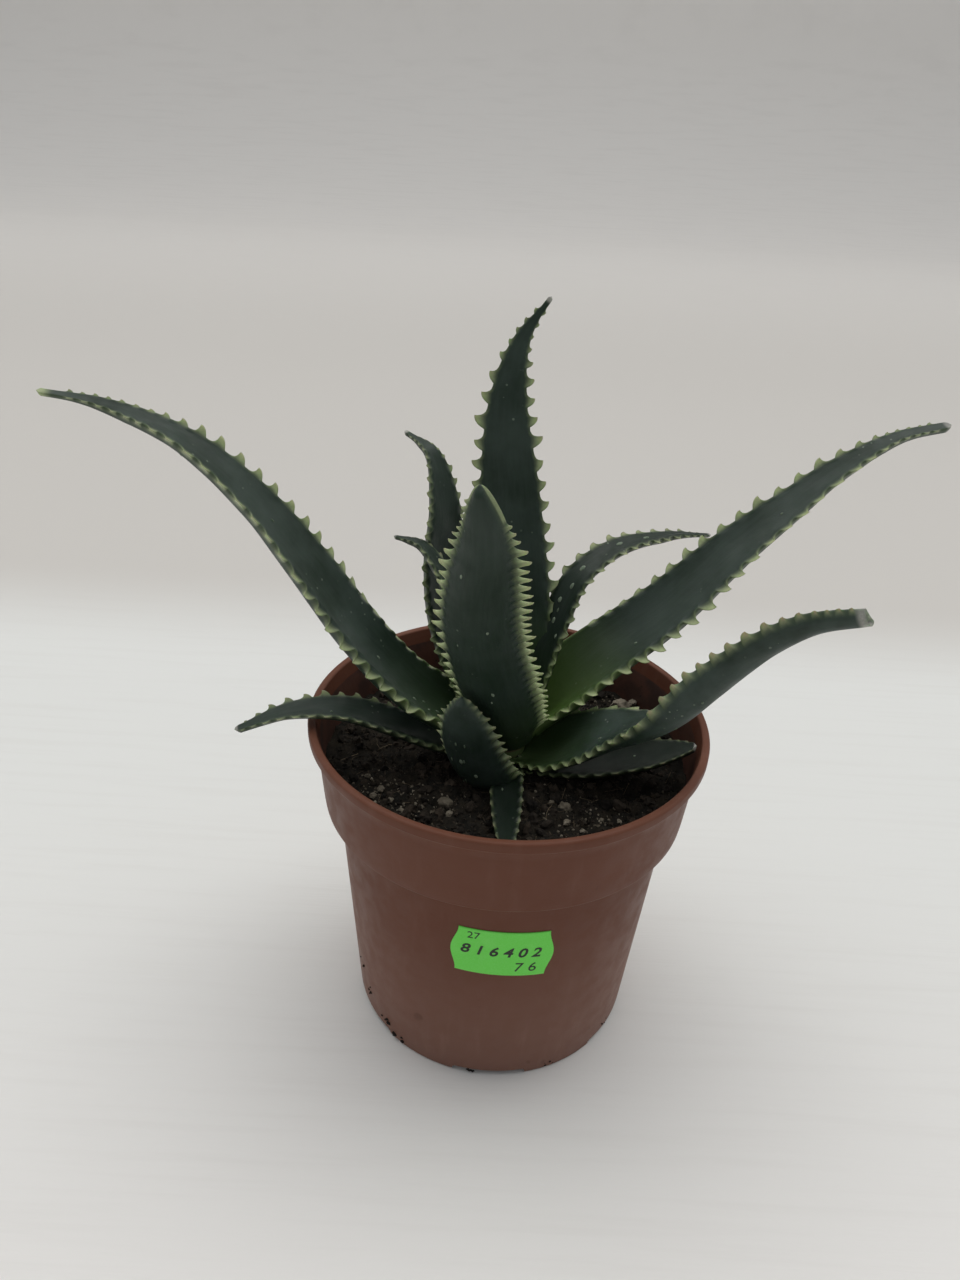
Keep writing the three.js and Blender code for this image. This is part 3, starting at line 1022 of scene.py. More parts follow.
@dataclass(frozen=True)
class LeafPlan:
    """One leaf: its node, its route and its looks.

    The route runs from the stem to the tip, as millimetres out from the axis along the azimuth, to
    the left and up. Width, tip width, thickness, pitch and tooth are in millimetres, the
    last two for the left and the right margin, as are the shares where each margin's teeth begin
    and end. Twist and droop are degrees at the foot and at the tip. A pale line follows the margins
    from the share called line to the tip. Stout teeth are blunt bars, and the others are hooks.
    """

    node: str
    azimuth: float
    width: float
    thickness: float
    pitch: Pair
    tooth: Pair
    route: tuple[Triple, ...]
    fullness: float = 1.8
    taper: float = 1.05
    tip: float = 1.6
    twist: Pair = (0.0, 0.0)
    twist_run: Pair = (0.0, 0.5)
    droop: Pair = (12.0, 0.0)
    cut: float | None = None
    toothed: float = 0.84
    bare: Pair = (0.05, 0.05)
    bare_end: Pair = (0.965, 0.965)
    stout: float = 0.0
    pale: float = 0.8
    pale_tip: float = 0.0
    line: float = 1.0
    # How strongly painted shade darkens the whole leaf.
    shade: float = 0.0
    bloom: float = 0.7
    fresh: float = 0.6
    thorn: float = 0.25
    dry_tip: float = 0.018
    spots: tuple[Four, ...] = ()
    under_spots: tuple[Four, ...] = ()

    @property
    def letter(self) -> int:
        """The code of the leaf's letter, which its seeds are worked out from."""
        return ord(self.node[len("leaf_")])


LEAVES = (
    LeafPlan("leaf_b_tall_back", 90, 18.5, 5, (5.2, 5.4), (2.6, 2.6),
             ((0, 0, 93), (5, 0, 104), (9, 0, 118), (16, 3, 146), (21, 5, 170), (25, 2.5, 184),
              (28, -4, 194)),
             fullness=3, taper=1.25, tip=1.3, pale=0.75),
    LeafPlan("leaf_c_tall_front", -100, 19, 6, (2.9, 3.6), (3.6, 2.8),
             ((3, 1, 91), (8, -0.2, 101), (16, -3.1, 117), (23, -4.8, 132), (30, -3.7, 146),
              (36, -2.4, 158), (41, -3.2, 171)),
             fullness=3, taper=0.6, bare_end=(0.89, 0.965), stout=0.8, pale=1.0, line=0.89, bloom=0.4,
             fresh=0.3, dry_tip=0.0),
    LeafPlan("leaf_e_small_left", 160, 11, 3.6, (3.6, 3.8), (1.3, 1.3),
             ((2, 0, 94), (6, 0, 104), (12, 0, 116), (19, 0, 129), (26, 0, 136.5), (34, 0, 137)),
             fullness=2.1, taper=0.85, tip=1.3, pale=0.6, bloom=0.3),
    LeafPlan("leaf_d_back_left", 140, 18, 4.5, (3.8, 4.0), (1.7, 1.7),
             ((2, 0, 91), (12, 0, 101), (20, 0, 113), (24, 0, 128), (25, 0, 145), (30, 0, 157),
              (40, 0, 160)),
             fullness=2.6, taper=1.1, tip=1.5, pale=0.7, bloom=0.45),
    LeafPlan("leaf_f_arched_right", 38, 9.6, 4, (5.2, 4.2), (2.2, 1.4),
             ((2, 0, 91), (7, 0, 103), (12, 0, 116), (19.3, 0, 128.3), (32, 0, 133.8), (52, 0, 133),
              (70, 0, 129)),
             fullness=1.9, tip=1.4, twist=(0, 10), toothed=0.9, pale=0.65, bloom=0.1, fresh=0.25, shade=0.3,
             spots=((0.30, 0.1, 1.9, 1.0), (0.36, 0.25, 1.8, 1.1), (0.41, -0.05, 2.0, 1.0),
                    (0.47, 0.15, 2.1, 1.2), (0.61, 0.1, 2.4, 1.1), (0.71, -0.1, 2.2, 1.0))),
    LeafPlan("leaf_g_long_right", 17, 23.3, 5.8, (5.4, 5.6), (2.2, 2.9),
             ((2, 0, 93), (12, 0, 102), (23.4, 0, 109.9), (40, 0, 121.2), (59, 0, 138.2), (72.2, 0, 148.3),
              (82.5, 0, 156.2), (98.8, 0, 164.4), (114.5, 0, 167)),
             fullness=1.2, taper=0.98, tip=2.8, twist=(5, 17), droop=(32, -38), bare=(0.22, 0.05),
             pale=0.9, bloom=0.6, fresh=0.85),
    LeafPlan("leaf_a_long_left", 182, 20.3, 6, (5.4, 5.2), (2.9, 2.4),
             ((2, 0, 90), (13, 0, 95.5), (24.3, 0, 102), (38, 0, 117), (50.4, 0, 134.6), (62.6, 0, 150.6),
              (78.7, 0, 164.9), (95.5, 0, 171.8), (110, 0, 174)),
             fullness=1.6, taper=1, tip=1.8, twist=(-5, -20), droop=(38, -45), toothed=0.8, pale=0.85,
             pale_tip=0.75, bloom=0.85, fresh=0.25, dry_tip=0.0,
             spots=((0.10, 0.55, 1.0, 0.8), (0.12, 0.35, 1.3, 0.9), (0.14, 0.6, 0.9, 0.7),
                    (0.15, 0.3, 0.9, 0.6), (0.17, 0.5, 1.2, 0.8))),
    LeafPlan("leaf_j_short_front", -108, 17, 6, (3.2, 3.2), (2.0, 1.8),
             ((4, 0, 79), (12, -2, 85), (18, -4, 95), (24, -5, 111)),
             fullness=3, taper=0.6, pale=0.75, bloom=1.2, fresh=0.2, dry_tip=0.0,
             under_spots=((0.52, -0.15, 1.7, 1.2), (0.40, 0.2, 1.4, 1.0))),
    LeafPlan("leaf_h_cut_right", -30, 21, 4.9, (7.0, 4.3), (1.7, 2.1),
             ((2, 0, 86), (15, 0, 91), (28, 0, 100), (41, 0, 109), (50, 0, 121), (61, 0, 135),
              (70, 0, 143), (81, 0, 148)),
             fullness=0.7, twist=(26, -50), twist_run=(0.17, 0.64), droop=(12, -6), cut=0.28, toothed=0.86,
             pale=0.7, bloom=1.7, fresh=0.4, thorn=0.8, dry_tip=0.028),
    LeafPlan("leaf_m_low_back", 92, 13, 4, (4.4, 4.6), (1.3, 1.3),
             ((2, 0, 86), (20, 0, 88), (34, 0, 91), (46, 0, 97)), pale=0.5, bloom=0.4),
    LeafPlan("leaf_i_low_left", 190, 11.5, 3.8, (4.2, 4.4), (1.7, 1.5),
             ((2, 0, 84), (18, 0, 87.5), (30, 0, 92.7), (43, 0, 97.2), (57, 0, 97), (71, 0, 91.6)),
             fullness=2.3, taper=0.75, tip=2.4, twist=(0, -8), droop=(0, -35), toothed=0.92,
             pale=0.65, bloom=0.5),
    LeafPlan("leaf_k_low_right", -12, 17, 4, (3.8, 4.0), (1.2, 1.3),
             ((2, 0, 83), (22, 0, 84), (37, 0, 88), (49, 0, 93)),
             fullness=3, taper=0.6, twist=(12, 2), droop=(0, -30), pale=0.4, bloom=0.0, fresh=0.0,
             shade=0.75),
    LeafPlan("leaf_l_low_front", -90, 8.6, 3.4, (4.0, 4.2), (0.35, 0.2),
             ((2, 0, 83), (17, 0, 82.5), (32, 0, 82.5), (45, 0, 83.5)),
             fullness=3, taper=0.7, pale=0.35, bloom=0.0, fresh=0.15, shade=0.75),
)


@dataclass
class Leaf:
    """Builds one leaf along its route, with hooked teeth drawn out of its margins."""

    plan: LeafPlan
    foot_narrowing: float = 0.25
    foot_end: float = 0.12
    margin: Pair = (1.0, 0.6)
    channel: Triple = (0.6, 0.2, 0.08)
    sheath_end: float = 0.22
    sheath_thickness: float = 0.55
    under_fullness: float = 0.6
    denticles: float = 0.16
    droop_run: Pair = (0.25, 0.60)
    thinning: float = 0.6
    bend_reach: float = 0.6
    ripple_height: float = 0.13
    ripple_phases: Pair = (1.7, 4.1)
    closing: float = 0.6
    station_step: float = 0.15
    end_stations: tuple[int, int] = (8, 16)
    end_start: float = 0.965
    tooth_root: float = 0.84
    tooth_peak: float = 0.38
    tooth_hook: float = 0.5
    tooth_mark: float = 0.06
    line_strength: float = 0.42
    pale_tip_run: Pair = (0.972, 0.995)
    tooth_spread: Pair = (0.72, 1.12)
    pitch_spread: Pair = (0.85, 1.15)
    start_spread: Pair = (0.8, 1.2)
    bar_peak: float = 0.6
    bar_upright: float = 0.7
    rim: float = 1.15
    back_steps: int = 7
    front_steps: int = 5
    upper_columns: int = 15
    under_columns: int = 19
    nose: tuple[float, ...] = (0.0, 0.2, 0.4, 0.58, 0.75, 0.89)
    hollow: tuple[Pair, ...] = ((0.72, 0.5), (0.5, 1.3))
    hollow_depth: float = 1.4
    wart_rings: tuple[Pair, ...] = ((1.0, -0.10), (0.86, 0.08), (0.62, 0.20), (0.32, 0.27))
    wart_sides: int = 12
    wart_lift: float = 0.29
    wart_root: float = 0.25
    spot_spread: tuple[Pair, ...] = ((0.25, 0.82), (-0.6, 0.6), (0.7, 1.5), (0.4, 0.8))
    length: float = field(init=False)

    def __post_init__(self) -> None:
        """Works out the route's points and how far along it each of them is."""
        out, left = turned(self.plan.azimuth)
        points = np.array([out * o + left * s + np.array([0, 0, u]) for o, s, u in self.plan.route])
        self.path = self._route(points)
        gaps = np.linalg.norm(np.diff(self.path, axis=0), axis=1)
        self.reached = np.concatenate([[0.0], np.cumsum(gaps)])
        self.length = float(self.reached[-1])

    @staticmethod
    def _route(points: Array, steps: int = 160) -> Array:
        """A smooth line through points, with its speed set by the square root of their spacing.

        Args:
            points: The points that it passes.
            steps: How many steps each span gets.

        Returns:
            Many points along the line.
        """
        ends = [2 * points[0] - points[1], *points, 2 * points[-1] - points[-2]]
        line = []
        for before, start, end, after in zip(ends, ends[1:], ends[2:], ends[3:]):
            pace = [np.linalg.norm(b - a) ** 0.5 for a, b in ((before, start), (start, end), (end, after))]
            leave = ((start - before) / pace[0] - (end - before) / (pace[0] + pace[1])
                     + (end - start) / pace[1])
            reach = ((end - start) / pace[1] - (after - start) / (pace[1] + pace[2])
                     + (after - end) / pace[2])
            leave, reach = leave * pace[1], reach * pace[1]
            for t in np.arange(steps) / steps:
                line.append(start + leave * t + (3 * (end - start) - 2 * leave - reach) * t**2
                            + (2 * (start - end) + leave + reach) * t**3)
        return np.array([*line, points[-1]])

    def at(self, share: Array) -> tuple[Array, Array, Array, Array]:
        """The route's point and its along, side and face directions at shares of its length.

        Args:
            share: Shares of the length.

        Returns:
            Four lists of triples, each with one for every share.
        """
        share = np.atleast_1d(np.asarray(share, float))

        def point(places: Array) -> Array:
            """The points of the route at some lengths from its start."""
            return np.stack([np.interp(places, self.reached, self.path[:, k]) for k in range(3)], 1)

        reach = share * self.length
        ahead = np.minimum(reach + self.bend_reach, self.length)
        along = point(ahead) - point(np.maximum(reach - self.bend_reach, 0))
        along /= np.linalg.norm(along, axis=1, keepdims=True)
        left = turned(self.plan.azimuth)[1]
        side = left - along * (along @ left)[:, None]
        side /= np.linalg.norm(side, axis=1, keepdims=True)
        face = np.cross(along, side)
        twist = np.radians(mix(*self.plan.twist, smooth(*self.plan.twist_run, share)))[:, None]
        return (point(reach), along, side * np.cos(twist) + face * np.sin(twist),
                face * np.cos(twist) - side * np.sin(twist))

    def half(self, share: Array) -> Array:
        """Half of the blade's width at shares of its length.

        Args:
            share: Shares of the length.

        Returns:
            Millimetres, never less than half the tip's width.
        """
        plan = self.plan
        share = np.asarray(share, float)
        foot = 1 - self.foot_narrowing * (1 - smooth(0, self.foot_end, share))
        if plan.cut:
            end = mix(1, plan.cut, share**plan.fullness)
        else:
            end = (1 - np.minimum(share, 1) ** plan.fullness) ** plan.taper
        return np.sqrt(np.hypot((plan.width * foot * end) ** 2, plan.tip**2)) / 2

    def levels(self, share: Array, across: Array) -> tuple[Array, Array]:
        """How far the upper and under faces lie from the plane of the margins.

        Args:
            share: Shares of the length.
            across: -1 at the right margin to 1 at the left one.

        Returns:
            Both levels, in millimetres along the face direction.
        """
        plan = self.plan
        half = self.half(share)
        fleshy = plan.thickness * mix(self.sheath_thickness, 1, smooth(0, self.sheath_end, share))
        thick = np.minimum(fleshy * (1 - self.thinning * share**2), 1.5 * half)
        blade = mix(self.channel[1], self.channel[2], smooth(self.sheath_end, 0.8, share))
        channel = half * mix(self.channel[0], blade, smooth(0, self.sheath_end, share))
        margin = np.minimum(mix(*self.margin, share), half)
        arch = 1 - across**2
        flesh = (thick + channel - margin) * arch**self.under_fullness
        upper = -channel * arch + self.ripple(share, across, self.ripple_phases[0])
        under = -margin - flesh + self.ripple(share, across, self.ripple_phases[1])
        return upper, under

    def ripple(self, share: Array, across: Array, phase: float) -> Array:
        """A faint unevenness of the skin, in millimetres, which dies out at the margins.

        Args:
            share: Shares of the length.
            across: -1 at the right margin to 1 at the left.
            phase: Where the waves start.

        Returns:
            The height.
        """
        seed = self.plan.letter * 0.7 + phase
        reach = share * self.length
        lumps = np.sin(reach * 0.21 + seed) * np.cos(across * 2.3 + seed * 2)
        lumps = lumps + 0.6 * np.sin(reach * 0.47 - across * 3.1 + seed * 3)
        fading = smooth(0, self.foot_end, share) * (1 - smooth(0.8, 0.95, share))
        return self.ripple_height * lumps * (1 - across**2) * fading

    def tooth_curves(self, root: float, tall: float) -> tuple[tuple[Pair, ...], ...]:
        """The two curves of a tooth, as distances along the margin and out of it.

        Args:
            root: The length of its root along the margin.
            tall: Its height.

        Returns:
            Its back, from the foot to the point, and its front, from the point down.
        """
        stout = self.plan.stout
        hook = self.tooth_hook * tall * (1 - self.bar_upright * stout)
        reach = root * mix(self.tooth_peak, self.bar_peak, stout) + hook
        shoulder = (mix(0.16, 0.04, stout) * reach, mix(0.30, 0.85, stout) * tall)
        back = ((0, 0), shoulder, (0.42 * reach, tall), (reach, tall))
        throat = (mix(reach, root, 0.15) - 0.1 * tall, 0.06 * tall)
        front = ((reach, tall), (reach - 0.10 * tall, 0.62 * tall), throat, (root, 0))
        return back, front

    def margin_line(self, margin: int) -> Array:
        """Draws the teeth of one margin, each hooked to the tip, with a convex back.

        Args:
            margin: 0 for the left margin and 1 for the right one.

        Returns:
            For each place along the leaf how far the margin stands out, how far it leans to the
            tip and how near it is to a tooth's point.
        """
        plan = self.plan
        draw = seeded(plan.letter * 7919 + margin * 104729)
        end = plan.toothed
        rows = [(0.0, 0.0, 0.0, 0.0)]
        place = plan.bare[margin] * self.length * mix(*self.start_spread, draw())
        while place < min(end + self.denticles, plan.bare_end[margin]) * self.length:
            share = place / self.length
            growth = mix(0.5, 1, smooth(0, 0.3, share))
            fading = smooth(end - 0.08, end + 0.04, share)
            tall = plan.tooth[margin] * growth * mix(1, 0.3, fading) * mix(*self.tooth_spread, draw())
            step = plan.pitch[margin] * mix(0.7, 1, smooth(0, 0.4, share)) * mix(1, 0.55, fading)
            step *= mix(*self.pitch_spread, draw())
            root = step * self.tooth_root
            back, front = self.tooth_curves(root, tall)
            total = self.back_steps + self.front_steps
            runs = ((back, self.back_steps, 0), (front, self.front_steps, self.back_steps))
            for curve, steps, before in runs:
                for k in range(steps):
                    base = root * (before + k) / total
                    along, out = bezier(curve, k / steps)
                    rows.append((place + base, out, along - base, out / tall))
            rows.append((place + root, 0.0, 0.0, 0.0))
            place += step
        rows.append((self.length, 0.0, 0.0, 0.0))
        return np.array(rows)

    def stations(self) -> tuple[Array, Array, Array, Array]:
        """Where the rings stand, and how the margins are drawn out there.

        Returns:
            Each ring's share of the length, and for the left and right margins how far they
            stand out, how far they lean to the tip and how near they are to a tooth's point.
        """
        lines = [self.margin_line(margin) for margin in (0, 1)]
        foot = np.linspace(0, min(self.plan.bare), self.end_stations[0]) * self.length
        tip = np.linspace(self.end_start, 1, self.end_stations[1]) * self.length
        places = np.concatenate([*[line[:, 0] for line in lines], foot, tip])
        places = np.unique(np.round(places / self.station_step)) * self.station_step
        places = places[places < self.length - 2 * self.station_step]
        read = [
            np.stack([np.interp(places, line[:, 0], line[:, k]) for line in lines], 1)
            for k in (1, 2, 3)
        ]
        return places / self.length, *read

    def build(self, skin: Material) -> Piece:
        """Builds the leaf as one closed mesh with the named numbers that its skin reads.

        Args:
            skin: The leaf's finish.

        Returns:
            The leaf.
        """
        plan = self.plan
        share, out, lean, point = self.stations()
        centre, along, side, face = self.at(share)
        half = self.half(share)
        rim = np.minimum(self.rim, 0.42 * half)
        if plan.cut is None:
            rounding = self.closing * plan.tip / self.length
            close = np.sqrt(np.clip(1 - smooth(1 - rounding, 1.0, share), 0.02, 1.0))
            half, rim = half * close, rim * close
        else:
            close = np.ones_like(half)
        inner = 1 - rim / half
        droop = np.radians(mix(*plan.droop, smooth(*self.droop_run, share)))[:, None]
        outwards, down = out * np.cos(droop), out * np.sin(droop)
        ends = np.minimum(mix(*self.margin, share), half)
        marks = mix(self.tooth_mark, 1.0, point**0.8)
        rows: dict[str, list[Array]] = {key: [] for key in ("co", "edge", "tooth", "across", "under")}

        def add(across_mm: Array, up: Array, push: Array, q: float, mark: Array, sign: float) -> None:
            """Adds a line along the leaf, a share q of the way round the margin's edge.

            Args:
                across_mm: How far to the left of the middle each ring's point is.
                up: How far it is out of the margins' plane.
                push: How far it leans to the tip.
                q: 0 on the face and 1 at the margin's outermost line.
                mark: How near it is to a tooth's point.
                sign: Above 0 on the upper face.
            """
            rows["co"].append(centre + side * across_mm[:, None] + face * (up * close)[:, None]
                              + along * push[:, None])
            rows["edge"].append(np.full_like(half, smooth(0.1, 0.8, q)))
            rows["tooth"].append(smooth(0.22, 0.85, q) * mark)
            rows["across"].append(across_mm)
            rows["under"].append(np.full_like(half, 0.0 if sign > 0 else 1.0))

        def body(sign: Face) -> None:
            """Runs over one face from margin to margin.

            Args:
                sign: The face.
            """
            count = self.upper_columns if sign is Face.UPPER else self.under_columns
            for k in range(count):
                bow = math.sin((k / (count - 1) - 0.5) * math.pi)
                place = -sign.value * (0.5 * bow + 0.5 * (2 * k / (count - 1) - 1)) * inner
                level = self.levels(share, place)[0 if sign is Face.UPPER else 1]
                add(place * half, level, np.zeros_like(half), 0.0, np.zeros_like(half), sign.value)
                rows["edge"][-1] = self.tooth_mark * smooth(0.80, 1.0, np.abs(place))

        def rim_strip(margin: int, sign: Face, leaving: bool) -> None:
            """Runs round one side of a margin's edge, out to its nose or back from it.

            Args:
                margin: 0 for the left margin and 1 for the right one.
                sign: The face it is on.
                leaving: Whether it runs outwards.
            """
            flips = 1.0 - 2.0 * margin
            upper, under = self.levels(share, flips * inner)
            middle, thick = (upper + under) / 2, upper - under
            power = 0.55 + 0.95 * point[:, margin]
            for q in self.nose[1:] if leaving else self.nose[:0:-1]:
                level = mix(middle, -ends / 2, q) + sign.value * thick / 2 * (1 - q) ** power
                add(flips * mix(half * inner, half + outwards[:, margin], q),
                    level - down[:, margin] * q**1.3, lean[:, margin] * q**1.2, q, marks[:, margin],
                    sign.value)

        def nose(margin: int) -> None:
            """Runs along the outermost line of a margin, over the points of its teeth."""
            add((1.0 - 2.0 * margin) * (half + outwards[:, margin]), -ends / 2 - down[:, margin],
                lean[:, margin], 1.0, marks[:, margin], 1.0)

        for margin, first, then in ((1, Face.UPPER, Face.UNDER), (0, Face.UNDER, Face.UPPER)):
            body(first)
            rim_strip(margin, first, True)
            nose(margin)
            rim_strip(margin, then, False)
        return self._close(skin, share, along, face, rows)

    def _close(
        self, skin: Material, share: Array, along: Array, face: Array,
        rows: dict[str, list[Array]],
    ) -> Piece:
        """Joins the rings, closes both ends and stores the named numbers.

        Args:
            skin: The leaf's finish.
            share: Each ring's share of the length.
            along: Its direction to the tip.
            face: Its direction out of the upper face.
            rows: The lines along the leaf, with the named numbers of each.

        Returns:
            The leaf.
        """
        plan = self.plan
        around, rings = len(rows["co"]), len(share)
        grid = {key: np.stack(value, 1) for key, value in rows.items()}
        points = grid["co"].reshape(-1, 3)
        faces = tube_faces(rings, around)
        last = (rings - 1) * around
        middle = grid["co"][-1].mean(0)
        extra = 1
        if plan.cut is None:
            points = np.vstack([points, self.path[-1] - face[-1] * self.margin[1] / 2])
        else:
            hollow = [mix(middle, grid["co"][-1], size) - along[-1] * depth for size, depth in self.hollow]
            points = np.vstack([points, *hollow, middle - along[-1] * self.hollow_depth])
            faces += band(last, rings * around, around)
            faces += band(rings * around, (rings + 1) * around, around)
            last = (rings + 1) * around
            extra = 2 * around + 1
        faces += fan(last, around, len(points) - 1)
        points = np.vstack([points, grid["co"][0].mean(0)])
        faces += fan(0, around, len(points) - 1, True)

        u = np.repeat(share, around)
        across, under, edge, tooth = (grid[key].ravel() for key in ("across", "under", "edge", "tooth"))
        tip_dry = smooth(1 - plan.dry_tip, 1 - 0.5 * plan.dry_tip, u) if plan.dry_tip else np.zeros_like(u)
        pale_line = self.line_strength * smooth(0.80, 1.0, edge) * smooth(plan.line, plan.line + 0.02, u)
        pale_end = np.maximum(plan.pale_tip * smooth(*self.pale_tip_run, u), pale_line)
        # The painted shade number is the same all over a leaf, so the whole leaf is darkened evenly.
        values = {
            "edge": edge * plan.pale * mix(0.9, 0.14, smooth(0.08, 0.40, u)),
            "tooth": np.maximum(tooth * plan.pale * mix(1.0, 0.55, smooth(0.7, 0.95, u)), pale_end),
            "thorn": plan.thorn * tooth**6 * smooth(0.25, 0.6, u),
            "bloom": plan.bloom * mix(1.0, 0.75, under) * smooth(0.05, 0.35, u),
            "fresh": plan.fresh * (1 - smooth(0.02, 0.30, u)) * mix(1.0, 0.6, under),
            "dry": tip_dry,
            "shade": np.full_like(u, plan.shade),
        }
        fill = {"dry": 1.0 if plan.dry_tip else 0.0, "tooth": plan.pale_tip, "shade": plan.shade}
        padded = {key: np.concatenate([value, np.full(extra, fill.get(key, 0.0)), [0.0]])
                  for key, value in values.items()}
        piece = mesh_piece(plan.node.replace("leaf_", "aloe_leaf_"), points * MM, faces, skin, padded)
        flat = np.stack([u * self.length, across], 1) * MM
        flat = np.vstack([flat, np.repeat(flat[-1:], extra, 0), flat[:1]])
        layer = piece.data.uv_layers.new(name="leaf_map")
        corners = np.empty(len(piece.data.loops), np.int64)
        piece.data.loops.foreach_get("vertex_index", corners)
        layer.data.foreach_set("uv", flat[corners].astype(np.float32).ravel())
        return piece

    def surface(self, share: Array, across: Array, face_of: Face) -> tuple[Array, Array]:
        """Points on a face of the blade and the direction out of it, for what stands on the skin.

        Args:
            share: Shares of the length.
            across: -1 at the right margin to 1 at the left.
            face_of: The face.

        Returns:
            The points and the directions.
        """
        centre, _, side, face = self.at(share)
        level = self.levels(share, across)[0 if face_of is Face.UPPER else 1]
        half = self.half(share)
        return centre + side * (across * half)[:, None] + face * level[:, None], face * face_of.value

    def warts(self, face_of: Face, spots: Sequence[Four], finish: Material) -> Piece:
        """Raises low oval spots on a face.

        Args:
            face_of: The face they are on.
            spots: For each its share of the length, its place across, its length and its width.
            finish: Their material.

        Returns:
            All of them as one object.
        """
        rings, around = self.wart_rings, self.wart_sides
        angles = np.arange(around) / around * 2 * math.pi
        points: list[Array] = []
        faces: list[Corners] = []
        for share, across, long, wide in spots:
            start = len(points)
            half = float(self.half(np.array([share]))[0])
            for radius, lift in rings:
                u = share + np.cos(angles) * radius * long / 2 / self.length
                s = np.clip(across + np.sin(angles) * radius * wide / 2 / half, -0.98, 0.98)
                place, normal = self.surface(u, s, face_of)
                points.extend(place + normal * lift)
            top, normal = self.surface(np.array([share]), np.array([across]), face_of)
            points.extend(top + normal * self.wart_lift)
            points.extend(top - normal * self.wart_root)
            hub = len(points) - 2
            faces += [tuple(start + k for k in face) for face in tube_faces(len(rings), around)]
            faces += fan(hub - around, around, hub)
            faces += fan(start, around, hub + 1, True)
        return mesh_piece("warts", np.array(points) * MM, faces, finish)

    def random_spots(self, count: int, seed: int) -> list[Four]:
        """A few scattered spots for the parts of a face that the picture doesn't show."""
        draw = seeded(seed)
        return [tuple(mix(low, high, draw()) for low, high in self.spot_spread) for _ in range(count)]


@dataclass
class Rosette:
    """All the leaves and the short stem that they clasp."""

    plans: tuple[LeafPlan, ...] = LEAVES
    few_spots: tuple[tuple[Face, int], ...] = ((Face.UPPER, 2), (Face.UNDER, 6))
    stem_sides: int = 48
    stem_steps: int = 8
    stem_outline: tuple[Pair, ...] = (
        (0.5, 0.0), (1.0, 0.12), (0.8, 0.29), (0.667, 0.41), (0.533, 0.76), (0.38, 0.90), (0.21, 1.0),
    )
    stem_point: Pair = (0.12, 0.995)
    scar_depth: float = 0.02
    scar_waves: float = 90.0

    def build(self) -> None:
        """Builds and mounts every leaf, then the stem."""
        skin = LeafFinish().build()
        wart = WartFinish().build()
        for plan in self.plans:
            leaf = Leaf(plan)
            parts = [leaf.build(skin)]
            seed = plan.letter * 31
            for face_of, count in self.few_spots:
                spots = plan.spots if face_of is Face.UPPER else plan.under_spots
                chosen = [*spots, *leaf.random_spots(count, seed + face_of.value)]
                parts.append(leaf.warts(face_of, chosen, wart))
            mounted(joined(parts[0].name, parts), "leaf_flesh", plan.node)
        self.build_stem()

    def build_stem(self) -> None:
        """Builds the stem, with rings where older leaves were and a growing point on top."""
        low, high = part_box("stem")
        height = high.z - low.z
        widest = high.x
        profile = [(0.0, low.z)]
        for (r0, z0), (r1, z1) in zip(self.stem_outline, self.stem_outline[1:]):
            for k in range(self.stem_steps):
                share = k / self.stem_steps
                level = mix(z0, z1, share)
                scar = self.scar_depth * math.sin(level * self.scar_waves)
                profile.append((widest * (mix(r0, r1, share) + scar), low.z + height * level))
        radius, level = self.stem_point
        profile += [(widest * radius, low.z + height * level), (0.0, high.z)]
        mounted(lathe("aloe_stem", profile, self.stem_sides, StemFinish().build()), "stem_bark", "stem")


# Pot.


